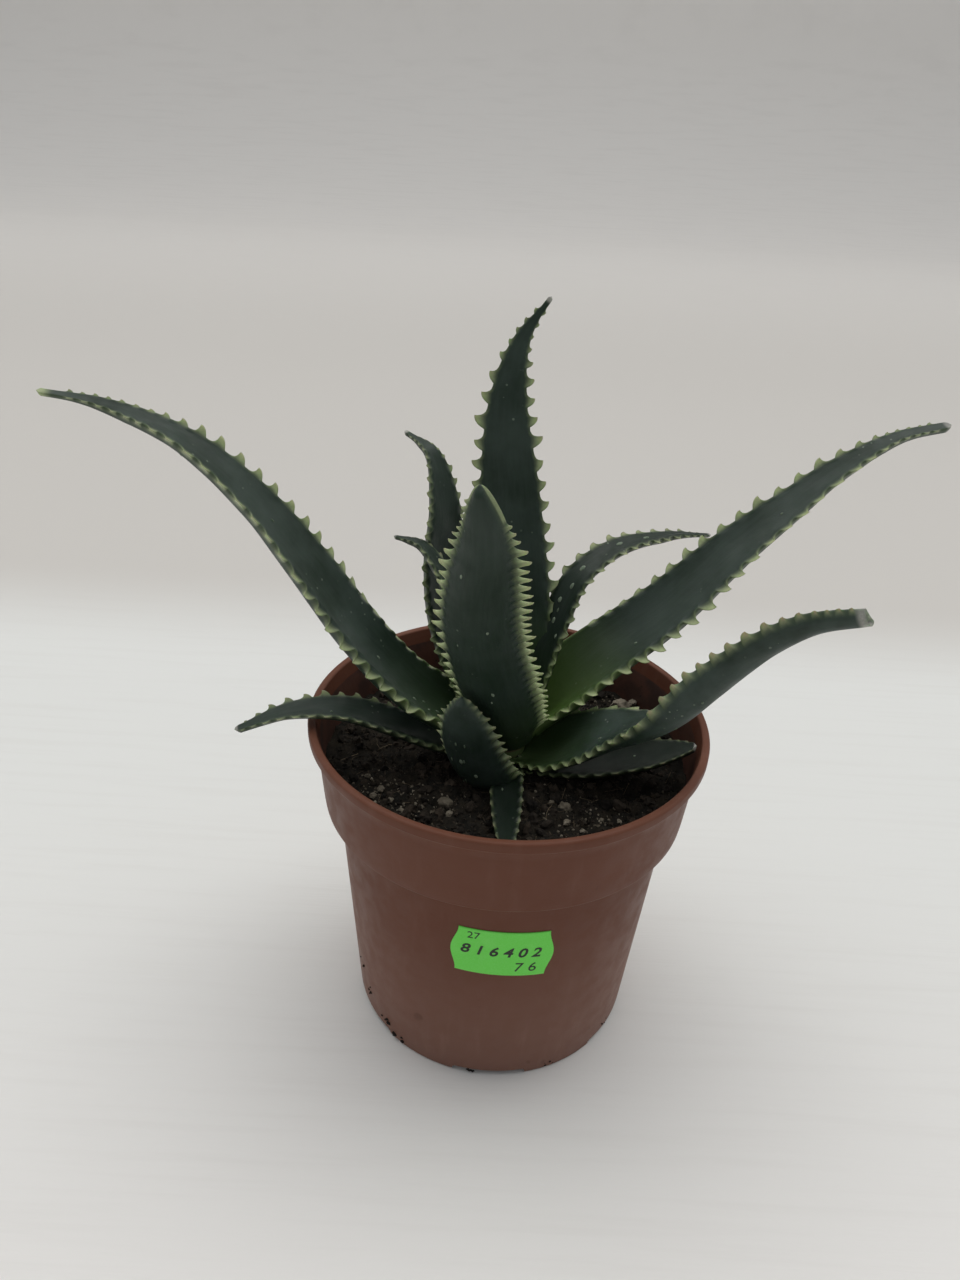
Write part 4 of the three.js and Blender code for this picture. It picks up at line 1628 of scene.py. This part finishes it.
@dataclass
class Pot:
    """The round nursery pot: a thin shell with a rolled lip, a collar, feet and drain holes."""

    sides: int = 180
    lip_depth: float = 3 * MM
    lip_width: float = 2.1 * MM
    lip_roll: float = 0.75 * MM
    lip_round: float = 0.6 * MM
    collar_top: float = 50.8 * MM
    collar_foot: float = 48.6 * MM
    collar_foot_z: float = 69 * MM
    wall_top: float = 45 * MM
    wall_foot: float = 39.5 * MM
    wall: float = 1 * MM
    floor_z: float = 2.2 * MM
    foot_width: float = 2.4 * MM
    foot_slope: float = 1.2 * MM
    foot_round: float = 0.7 * MM
    floor_round: float = 0.4 * MM
    collar_round: float = 0.85 * MM
    foot_count: int = 6
    notch: Pair = (20 * MM, 1.8 * MM)
    notch_reach: float = 12 * MM
    notch_round: float = 0.5 * MM
    drain_radius: float = 4.5 * MM
    drain_circle: float = 27 * MM
    drain_depth: float = 8 * MM
    first_azimuth: float = -90.0
    sharp_angle: float = 50.0
    height: float = field(init=False)
    lip_radius: float = field(init=False)

    def __post_init__(self) -> None:
        """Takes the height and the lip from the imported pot."""
        self.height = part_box("pot")[1].z
        self.lip_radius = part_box("pot")[1].x

    def wall_radius(self, z: float) -> float:
        """The outside radius of the wall at a height."""
        return mix(self.wall_foot, self.wall_top, z / self.collar_foot_z)

    def collar_radius(self, z: float) -> float:
        """The outside radius of the collar at a height."""
        share = (z - self.collar_foot_z) / (self.height - self.collar_foot_z)
        return mix(self.collar_foot, self.collar_top, share)

    def arc(
        self, centre: Pair, radius: float, start: float, end: float, steps: int
    ) -> list[Pair]:
        """Points on a round corner of the profile, by angles in degrees from straight out."""
        angles = np.radians(np.linspace(start, end, steps))
        return [(centre[0] + radius * math.cos(a), centre[1] + radius * math.sin(a)) for a in angles]

    def profile(self) -> list[Pair]:
        """The section of the shell, from the middle of the floor round its outside and back in.

        Returns:
            Radius and height of each point.
        """
        inner = self.height - self.lip_depth
        roll, lip_round = self.lip_roll, self.lip_round
        bend, hem = self.foot_round, self.collar_round
        foot = self.wall_foot - self.foot_width
        ledge = foot - self.foot_slope
        lip_in = self.lip_radius - self.lip_width
        return [
            (0.0, self.floor_z),
            (ledge, self.floor_z),
            *self.arc((ledge, self.floor_z - self.floor_round), self.floor_round, 90, 10, 4),
            (foot - 0.15 * MM, 0.35 * MM),
            (foot + 0.2 * MM, 0.0),
            *self.arc((self.wall_foot - bend, bend), bend, -90, 0, 6),
            *[(self.wall_radius(z * MM), z * MM) for z in (5, 15, 25, 35, 45, 55, 63)],
            *self.arc((self.wall_top - 0.06 * MM + bend, 68.25 * MM), bend, 180, 95, 5),
            *self.arc((self.collar_foot - hem, 69.85 * MM), hem, -85, -5, 6),
            *[(self.collar_radius(z * MM), z * MM) for z in (72, 77, 82, 86)],
            (self.collar_radius(inner) - 0.05 * MM, inner - 0.4 * MM),
            (self.collar_radius(inner) + 0.35 * MM, inner - 0.02 * MM),
            *self.arc((self.lip_radius - roll, inner + roll), roll, -80, 0, 6),
            *self.arc((self.lip_radius - roll, self.height - roll), roll, 0, 90, 7),
            *self.arc((lip_in + lip_round, self.height - lip_round), lip_round, 90, 180, 6),
            (self.collar_radius(inner) - self.wall, inner - 1 * MM),
            *[(self.collar_radius(z * MM) - self.wall, z * MM) for z in (84, 78, 73)],
            (self.collar_foot - self.wall, 70.6 * MM),
            (self.wall_top - self.wall, 69.8 * MM),
            *[(self.wall_radius(z * MM) - self.wall, z * MM) for z in (50, 30, 10)],
            (self.wall_radius(self.floor_z) - self.wall, self.floor_z + self.wall),
            (0.0, self.floor_z + self.wall),
        ]

    def notch_block(self, work: bmesh.types.BMesh) -> Triple:
        """Makes the block that cuts a notch, and gives its place outwards and up.

        Args:
            work: The mesh that it is made in.

        Returns:
            Its place.
        """
        bmesh.ops.create_cube(work, size=1.0)
        bmesh.ops.scale(work, verts=work.verts, vec=(self.notch_reach, self.notch[0], 2 * self.notch[1]))
        edges = [edge for edge in work.edges if all(corner.co.z > 0 for corner in edge.verts)]
        bmesh.ops.bevel(work, geom=edges, offset=self.notch_round, segments=3, affect="EDGES")
        return self.wall_foot - self.wall, 0, 0.0

    def drain_rod(self, work: bmesh.types.BMesh) -> Triple:
        """Makes the rod that cuts a drain hole, and gives its place outwards and up.

        Args:
            work: The mesh that it is made in.

        Returns:
            Its place.
        """
        bmesh.ops.create_cone(work, cap_ends=True, segments=32, radius1=self.drain_radius,
                              radius2=self.drain_radius, depth=self.drain_depth)
        return self.drain_circle, 0, self.floor_z

    def cutters(self) -> list[Piece]:
        """The shapes that cut the notches between the feet and the drain holes.

        Returns:
            One object for each cut.
        """
        made = []
        for index in range(self.foot_count):
            angle = math.radians(self.first_azimuth + 360 / self.foot_count * index)
            turn = Matrix.Rotation(angle, 3, "Z")
            for kind, make in (("notch", self.notch_block), ("drain", self.drain_rod)):
                mesh = bpy.data.meshes.new(kind)
                work = bmesh.new()
                place = make(work)
                bmesh.ops.translate(work, verts=work.verts, vec=place)
                bmesh.ops.rotate(work, verts=work.verts, cent=(0, 0, 0), matrix=turn)
                work.to_mesh(mesh)
                work.free()
                made.append(linked(kind, mesh))
        return made

    def build(self) -> Piece:
        """Builds and mounts the pot.

        Returns:
            The pot.
        """
        finish = PotFinish()
        outside = finish.build()
        pot = lathe("nursery_pot", self.profile(), self.sides, outside)
        cutters = self.cutters()
        for cutter in cutters:
            modifier = pot.modifiers.new("cut", "BOOLEAN")
            modifier.operation = "DIFFERENCE"
            modifier.solver = "EXACT"
            modifier.object = cutter
        settled(pot)
        for cutter in cutters:
            bpy.data.objects.remove(cutter)
        pot.data.materials.clear()
        pot.data.materials.append(outside)
        pot.data.materials.append(finish.build_inside())
        self.paint_inside(pot.data)
        pot.data.shade_smooth()
        pot.data.set_sharp_from_angle(angle=math.radians(self.sharp_angle))
        return mounted(pot, "pot_plastic", "pot")

    def paint_inside(self, mesh: Mesh) -> None:
        """Gives the inner wall and the inner floor the darker finish, which is painted shade.

        Args:
            mesh: The pot's mesh, with the outside finish first and the inside one second.
        """
        for face in mesh.polygons:
            facing_in = face.normal.x * face.center.x + face.normal.y * face.center.y < 0
            below_lip = self.floor_z + 0.5 * self.wall < face.center.z < self.height - self.lip_depth
            floor = face.center.z < self.floor_z + 1.5 * self.wall and face.normal.z > 0.5
            face.material_index = 1 if below_lip and (facing_in or floor) else 0


# Soil.


@dataclass
class Soil:
    """Peaty mix: a rough bed, clods and crumbs, fibres, and pale mineral grains."""

    pot: Pot
    drop: float = 14.0
    mound: float = 1.5
    relief: float = 0.8
    rings: int = 84
    sides: int = 220
    underside: float = 3.6
    step_under: float = 70.4
    step_over: float = 71.2
    clearance: float = 0.3
    strewn_inset: float = 1.0
    strewn_grid: int = 72
    stone_sink: float = 0.35
    stones: tuple[Four, ...] = (
        (34.0, 27.5, 2.9, 0.80), (37.5, 29.5, 1.3, 1.0), (15.0, -21.5, 1.7, 0.35),
        (15.2, -26.8, 1.0, 0.9), (28.0, -26.0, 1.0, 0.7), (19.0, -29.5, 0.7, 1.0),
        (24.0, -24.5, 0.8, 0.5), (-15.0, -22.5, 1.9, 0.30), (-14.0, -26.0, 1.0, 0.6),
        (-32.0, -17.0, 1.2, 0.45), (-33.5, -20.5, 1.0, 0.6), (-29.0, -22.0, 0.9, 0.5),
        (-36.0, -12.0, 0.8, 0.4), (-21.0, -24.0, 0.8, 0.35), (-26.0, -25.5, 0.7, 0.55),
        (11.5, -20.0, 0.8, 0.3),
    )
    grit_base: float = 0.015
    grit_heaps: tuple[Triple, ...] = (
        (-31, -19, 7), (-25, -24, 5), (20, -25, 8), (30, 27, 7), (-15, -24, 5),
    )
    fibre_base: float = 0.30
    fibre_wisps: tuple[Triple, ...] = ((16, -27, 9), (23, -22, 7), (-28, -20, 8))
    splash_seed: int = 523
    splash_crumbs: int = 4
    splash_tone: float = 0.3
    splash_wander: Pair = (5, 2.4)
    splashes: tuple[Triple, ...] = (
        (204, 15.5, 0.6), (211, 9.5, 0.6), (222, 4.5, 0.9), (230, 2.6, 0.8), (262, 1.3, 0.5),
        (295, 1.2, 0.4), (325, 3.0, 0.4),
    )

    def __post_init__(self) -> None:
        """Sets the height of the bed from the pot."""
        self.level = self.pot.height / MM - self.drop

    def height(self, x: float, y: float) -> float:
        """The height of the rough bed at a point, in millimetres.

        Args:
            x: Millimetres to the right of the pot's axis.
            y: Millimetres behind it.

        Returns:
            The height over the pot's foot.
        """
        radius = math.hypot(x, y)
        waves = (math.sin(x * 0.61 + 1.3) * math.cos(y * 0.53) + math.sin(x * 0.23 - y * 0.71)
                 + 0.6 * math.cos(x * 1.13 + y * 0.97))
        base = self.level + self.mound * math.exp(-((radius / 20) ** 2)) + self.relief * waves / 2
        spot = Vector((x, y, 3.0))
        clods = noise.fractal(spot * 0.16, 0.9, 2.1, 5) * 0.9
        pits = abs(noise.noise(spot * 0.42)) * 1.1
        return base + clods - pits + 0.3 * noise.noise(spot * 1.4)

    def bed(self, finish: Material) -> Piece:
        """Builds the closed body of the soil.

        Args:
            finish: Its material.

        Returns:
            The bed.
        """
        top = self.pot.collar_radius(self.level * MM) / MM - self.pot.wall / MM + 0.2
        angles = np.arange(self.sides) / self.sides * 2 * math.pi
        inner = self.pot.wall / MM + self.clearance
        outline = (
            (self.pot.wall_radius(self.pot.floor_z) / MM - inner, self.underside),
            (self.pot.wall_top / MM - inner, self.step_under),
            (self.pot.collar_foot / MM - inner - self.clearance, self.step_over),
        )
        rows = [[(r * math.cos(a), r * math.sin(a), z) for a in angles] for r, z in outline]
        for k in range(self.rings):
            radius = top * (1 - k / self.rings)
            rows.append([
                (radius * math.cos(a), radius * math.sin(a),
                 self.height(radius * math.cos(a), radius * math.sin(a)))
                for a in angles
            ])
        points = [point for row in rows for point in row]
        points += [(0.0, 0.0, self.height(0.0, 0.0)), (0.0, 0.0, self.underside)]
        faces = tube_faces(len(rows), self.sides)
        last = (len(rows) - 1) * self.sides
        faces += fan(last, self.sides, len(points) - 2)
        faces += fan(0, self.sides, len(points) - 1, True)
        return mesh_piece("soil_bed", np.array(points) * MM, faces, finish)

    def surface(self, mask: Callable[[float, float], float] | None = None) -> Mesh:
        """The bed's top alone, for the scatters, with a mask of how thickly each place is strewn.

        Args:
            mask: How thickly a place is strewn, or none for 1 all over.

        Returns:
            The mesh.
        """
        inside = self.pot.collar_radius(self.level * MM) / MM - self.pot.wall / MM
        reach = inside - self.strewn_inset
        steps = np.linspace(-reach, reach, self.strewn_grid)
        points, index = [], {}
        for i, x in enumerate(steps):
            for j, y in enumerate(steps):
                if math.hypot(x, y) <= reach:
                    index[i, j] = len(points)
                    points.append((x * MM, y * MM, self.height(x, y) * MM))
        faces = [
            (index[i, j], index[i + 1, j], index[i + 1, j + 1], index[i, j + 1])
            for i, j in index
            if {(i + 1, j), (i + 1, j + 1), (i, j + 1)} <= index.keys()
        ]
        mesh = bpy.data.meshes.new("soil_surface")
        mesh.from_pydata(points, [], faces)
        mesh.update()
        layer = mesh.attributes.new("mask", "FLOAT", "POINT")
        for place, value in zip(points, layer.data):
            value.value = mask(place[0] / MM, place[1] / MM) if mask else 1.0
        return mesh

    @staticmethod
    def strewn(base: float, heaps: Sequence[Triple]) -> Callable[[float, float], float]:
        """A mask that is thickest in heaps and thin between them.

        Args:
            base: Its value far from every heap.
            heaps: The place and the reach of each heap, in millimetres.

        Returns:
            A function from a place to a value up to 1.
        """
        def mask(x: float, y: float) -> float:
            """How thickly a place is strewn."""
            heaped = sum(math.exp(-(((x - a) ** 2 + (y - b) ** 2) / reach**2)) for a, b, reach in heaps)
            return min(1.0, base + heaped)

        return mask

    def build(self) -> None:
        """Builds and mounts the bed and everything that lies on it."""
        bed = self.bed(SoilFinish().build())
        mounted(bed, "soil_mix", "soil")
        peat = GrainFinish("peat_crumb", (0.007, 0.0058, 0.0048), (0.055, 0.042, 0.030)).build()
        pale = GrainFinish("pale_grain", (0.07, 0.058, 0.040), (0.30, 0.265, 0.205), 0.85).build()
        straw = GrainFinish("root_fibre", (0.045, 0.032, 0.020), (0.22, 0.17, 0.11), 0.8).build()
        fine = shape_box("fine", [crumb(f"fine_{k}", 1, k + 3, 0.55, (1, 0.8, 0.7)) for k in range(4)])
        lumps = shape_box("lump", [crumb(f"lump_{k}", 2, k + 11, 0.75, (1, 0.85, 0.7)) for k in range(5)])
        roots = shape_box("root", [fibre(f"root_{k}", 0.8 + 0.7 * k, k + 1) for k in range(5)])
        heaps = self.strewn(self.grit_base, self.grit_heaps)
        wisps = self.strewn(self.fibre_base, self.fibre_wisps)
        for scatter, shapes, finish, mask in (
            (Scatter("peat_dust", 560000, 3, 0.22 * MM, 0.62 * MM), fine, peat, None),
            (Scatter("peat_clods", 62000, 7, 0.6 * MM, 1.9 * MM), lumps, peat, None),
            (Scatter("pale_grit", 620000, 11, 0.14 * MM, 0.60 * MM, masked=True), fine, pale, heaps),
            (Scatter("peat_fibres", 110000, 19, 2.0 * MM, 7.5 * MM, 0.9, True), roots, straw, wisps),
        ):
            mounted(scatter.over(self.surface(mask), shapes, finish), "soil_mix")
        for box in (fine, lumps, roots):
            emptied(box)
        self.build_stones(pale)
        self.build_splashes(peat)

    @staticmethod
    def loose(
        mesh: Mesh, place: Sequence[float], turn: Matrix, size: float, tone: float,
        finish: Material,
    ) -> Piece:
        """Lays one crumb down.

        Args:
            mesh: The crumb, of unit radius.
            place: Where its middle is, in metres.
            turn: How it is turned.
            size: Its radius in millimetres.
            tone: Its lightness from 0 to 1, which the finish reads.
            finish: Its material.

        Returns:
            The new object.
        """
        mesh.transform(Matrix.Translation(place) @ turn @ Matrix.Scale(size * MM, 4))
        layer = mesh.attributes.new("tone", "FLOAT", "POINT")
        layer.data.foreach_set("value", np.full(len(mesh.vertices), tone, np.float32))
        mesh.materials.append(finish)
        return linked(mesh.name, mesh)

    def build_stones(self, finish: Material) -> None:
        """Sets the larger mineral grains that the picture shows, each partly sunk in the bed.

        Args:
            finish: Their material.
        """
        pieces = []
        for index, (x, y, size, tone) in enumerate(self.stones):
            mesh = crumb(f"stone_{index}", 4, index + 41, 0.35, (1.0, 0.82, 0.72))
            mesh.shade_smooth()
            place = (x * MM, y * MM, (self.height(x, y) + size * self.stone_sink) * MM)
            turn = Matrix.Rotation(index * 1.3, 4, "Z")
            pieces.append(self.loose(mesh, place, turn, size, tone, finish))
        mounted(joined("soil_stones", pieces), "soil_mix")

    def build_splashes(self, finish: Material) -> None:
        """Sticks a few crumbs of peat to the foot of the pot's wall.

        Args:
            finish: Their material.
        """
        pieces = []
        draw = seeded(self.splash_seed)
        aside, apart = self.splash_wander
        spots = [
            (azimuth + aside * draw() - aside / 2, max(1.0, z + apart * draw() - apart / 2),
             size * mix(0.35, 1, draw()))
            for azimuth, z, size in self.splashes
            for _ in range(self.splash_crumbs)
        ]
        for index, (azimuth, z, size) in enumerate(spots):
            mesh = crumb(f"splash_{index}", 2, index + 71, 0.9, (1.0, 0.7, 0.6))
            out = turned(azimuth)[0] * self.pot.wall_radius(z * MM)
            turn = Matrix.Rotation(index * 0.9, 4, "X")
            pieces.append(self.loose(mesh, (out[0], out[1], z * MM), turn, size, self.splash_tone, finish))
        mounted(joined("peat_splashes", pieces), "soil_mix")


# Sticker.


@dataclass
class PriceLabel:
    """The small green sticker on the front of the wall, with plain digits on it."""

    pot: Pot
    width: float = 26 * MM
    height: float = 16 * MM
    thickness: float = 0.16 * MM
    lift: float = 0.03 * MM
    middle_z: float = 50.5 * MM
    azimuth: float = -88.7
    tilt: float = 2.0
    wave: float = 0.8 * MM
    columns: int = 48
    rows: int = 24
    ink_depth: float = 0.5 * MM
    ink_lift: float = 0.05 * MM
    ink_spread: float = 0.10 * MM
    bold_line: int = 1
    lines: tuple[tuple[str, float, float, float, float], ...] = (
        ("27", 3.3 * MM, -9.2 * MM, 4.6 * MM, 0.0),
        ("8 1 6 4 0 2", 4.6 * MM, -10.6 * MM, -0.9 * MM, 0.22),
        ("7 6", 4.6 * MM, 3.2 * MM, -6.3 * MM, 0.10),
    )

    def on_wall(self, across: float, up: float, lift: float) -> Triple:
        """A point on the wall, by its place on the sticker and its height over the plastic.

        Args:
            across: Its place to the right of the sticker's middle.
            up: Its place above it.
            lift: Its height over the plastic.

        Returns:
            The point.
        """
        tilt = math.radians(self.tilt)
        slope = math.atan((self.pot.wall_top - self.pot.wall_foot) / self.pot.collar_foot_z)
        x = across * math.cos(tilt) + up * math.sin(tilt)
        z = self.middle_z + (up * math.cos(tilt) - across * math.sin(tilt)) * math.cos(slope)
        radius = self.pot.wall_radius(z) + lift
        angle = math.radians(self.azimuth) + x / self.pot.wall_radius(z)
        return radius * math.cos(angle), radius * math.sin(angle), z

    def paper(self, finish: Material) -> Piece:
        """Builds the paper, with ends that wave in and out.

        Args:
            finish: Its material.

        Returns:
            The paper.
        """
        rings = []
        for row in range(self.rows + 1):
            share = row / self.rows - 0.5
            reach = self.width / 2 - self.wave + self.wave * math.cos(share * 2 * math.pi)
            across = [(k / self.columns * 2 - 1) * reach for k in range(self.columns + 1)]
            front = [self.on_wall(a, share * self.height, self.lift + self.thickness) for a in across]
            back = [self.on_wall(a, share * self.height, self.lift) for a in across]
            rings.append(front + back[::-1])
        around = len(rings[0])
        faces = tube_faces(len(rings), around)
        half = around // 2
        for start, turn in ((0, 1), ((len(rings) - 1) * around, -1)):
            for k in range(half - 1):
                face = (start + k, start + k + 1, start + around - 2 - k, start + around - 1 - k)
                faces.append(face[::-turn])
        points = np.array([point for ring in rings for point in ring])
        return mesh_piece("price_paper", points, faces, finish)

    def digits(self, finish: Material) -> list[Piece]:
        """Builds the rows of plain digits and lays them on the paper.

        Args:
            finish: The ink.

        Returns:
            One object for each row.
        """
        made = []
        for index, (words, size, left, low, slant) in enumerate(self.lines):
            text = bpy.data.curves.new(f"digits_{index}", "FONT")
            text.body, text.size, text.shear = words, size, slant
            text.extrude = self.ink_depth
            text.offset = self.ink_spread if index == self.bold_line else 0.0
            text.resolution_u = 3
            carrier = linked(text.name, text)
            bpy.context.view_layer.update()
            mesh = bpy.data.meshes.new_from_object(
                carrier.evaluated_get(bpy.context.evaluated_depsgraph_get()))
            bpy.data.objects.remove(carrier)
            base = self.lift + self.thickness
            for corner in mesh.vertices:
                raised = base + (self.ink_lift if corner.co.z > 0 else -self.ink_lift)
                corner.co = self.on_wall(left + corner.co.x, low + corner.co.y, raised)
            mesh.materials.clear()
            mesh.materials.append(finish)
            made.append(linked(f"digits_{index}", mesh))
        return made

    def build(self) -> None:
        """Builds and mounts the sticker."""
        paper = self.paper(LabelFinish().build())
        digits = self.digits(InkFinish().build())
        mounted(joined("price_sticker", [paper, *digits]), "label_paper", "price_label")


# Studio.


@dataclass
class Studio:
    """The camera, the pale floor and backdrop, and soft light."""

    camera_place: Triple = (-0.0087, -0.2215, 0.2381)
    pitch: float = 29.17
    roll: float = 3.13
    lens: float = 28.125
    sensor: float = 36.0
    floor_reach: float = 1.6
    curve_radius: float = 0.35
    floor_half_width: float = 3.0
    wall_top: float = 2.4
    sky_colour: Colour = (0.93, 0.96, 1.0)
    sky_strength: float = 0.36
    lamp_colour: Colour = (1.0, 0.985, 0.96)
    lamps: tuple[tuple[str, Triple, float, float], ...] = (
        ("sky_above", (0.05, 0.45, 1.0), 75.0, 2.3),
        ("sky_left", (-1.0, 0.30, 0.6), 60.0, 0.42),
        ("sky_right", (1.0, 0.40, 0.6), 60.0, 0.46),
    )
    wash_power: float = 3.5
    wash_size: Pair = (2.6, 0.5)
    wash_place: Triple = (0.0, 0.8, 1.3)
    wash_aim: Triple = (0.0, 1.0, -0.7)

    def build_camera(self) -> None:
        """Places the camera as the photograph was taken."""
        data = bpy.data.cameras.new("camera")
        data.sensor_fit = "VERTICAL"
        data.sensor_height = self.sensor
        data.sensor_width = self.sensor
        data.lens = self.lens
        data.clip_start, data.clip_end = 0.01, 20.0
        camera = linked("camera", data)
        tip = Matrix.Rotation(math.radians(90 - self.pitch), 4, "X")
        roll = Matrix.Rotation(math.radians(self.roll), 4, "Z")
        camera.matrix_world = Matrix.Translation(self.camera_place) @ (tip @ roll)
        bpy.context.scene.camera = camera

    def build_stage(self) -> None:
        """Builds the floor, which curves up into a backdrop far behind the pot."""
        bend = np.radians(np.linspace(0, 90, 16))
        line = [(-self.floor_reach, 0.0)]
        line += [(self.floor_reach + self.curve_radius * math.sin(a),
                  self.curve_radius * (1 - math.cos(a))) for a in bend]
        line += [(self.floor_reach + self.curve_radius, self.wall_top)]
        points = [(x, y, z) for y, z in line for x in (-self.floor_half_width, self.floor_half_width)]
        faces = [(2 * k, 2 * k + 1, 2 * k + 3, 2 * k + 2) for k in range(len(line) - 1)]
        mesh = bpy.data.meshes.new("floor")
        mesh.from_pydata(points, [], faces)
        mesh.shade_smooth()
        mesh.materials.append(StageFinish().build())
        floor = linked("floor", mesh)

    def build_light(self) -> None:
        """Adds a pale sky and broad lamps above, behind and to the sides."""
        world = bpy.data.worlds.new("sky")
        world.use_nodes = True
        sky = world.node_tree.nodes["Background"]
        sky.inputs["Color"].default_value = (*self.sky_colour, 1.0)
        sky.inputs["Strength"].default_value = self.sky_strength
        bpy.context.scene.world = world
        for name, towards, spread, power in self.lamps:
            data = bpy.data.lights.new(name, "SUN")
            data.angle, data.energy = math.radians(spread), power
            data.color = self.lamp_colour
            linked(name, data).rotation_euler = Vector(towards).to_track_quat("Z", "Y").to_euler()
        data = bpy.data.lights.new("backdrop_wash", "AREA")
        data.shape, data.energy = "RECTANGLE", self.wash_power
        data.size, data.size_y = self.wash_size
        wash = linked("backdrop_wash", data)
        wash.location = self.wash_place
        wash.rotation_euler = (-Vector(self.wash_aim)).to_track_quat("Z", "Y").to_euler()
        bpy.context.scene.view_settings.view_transform = "Standard"


def main() -> None:
    """Builds the studio and the plant."""
    logging.basicConfig(level=logging.INFO, format="%(name)s %(message)s")
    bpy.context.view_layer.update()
    studio = Studio()
    studio.build_camera()
    studio.build_stage()
    studio.build_light()
    pot = Pot()
    pot.build()
    Soil(pot).build()
    Rosette().build()
    PriceLabel(pot).build()


if __name__ == "__main__":
    main()
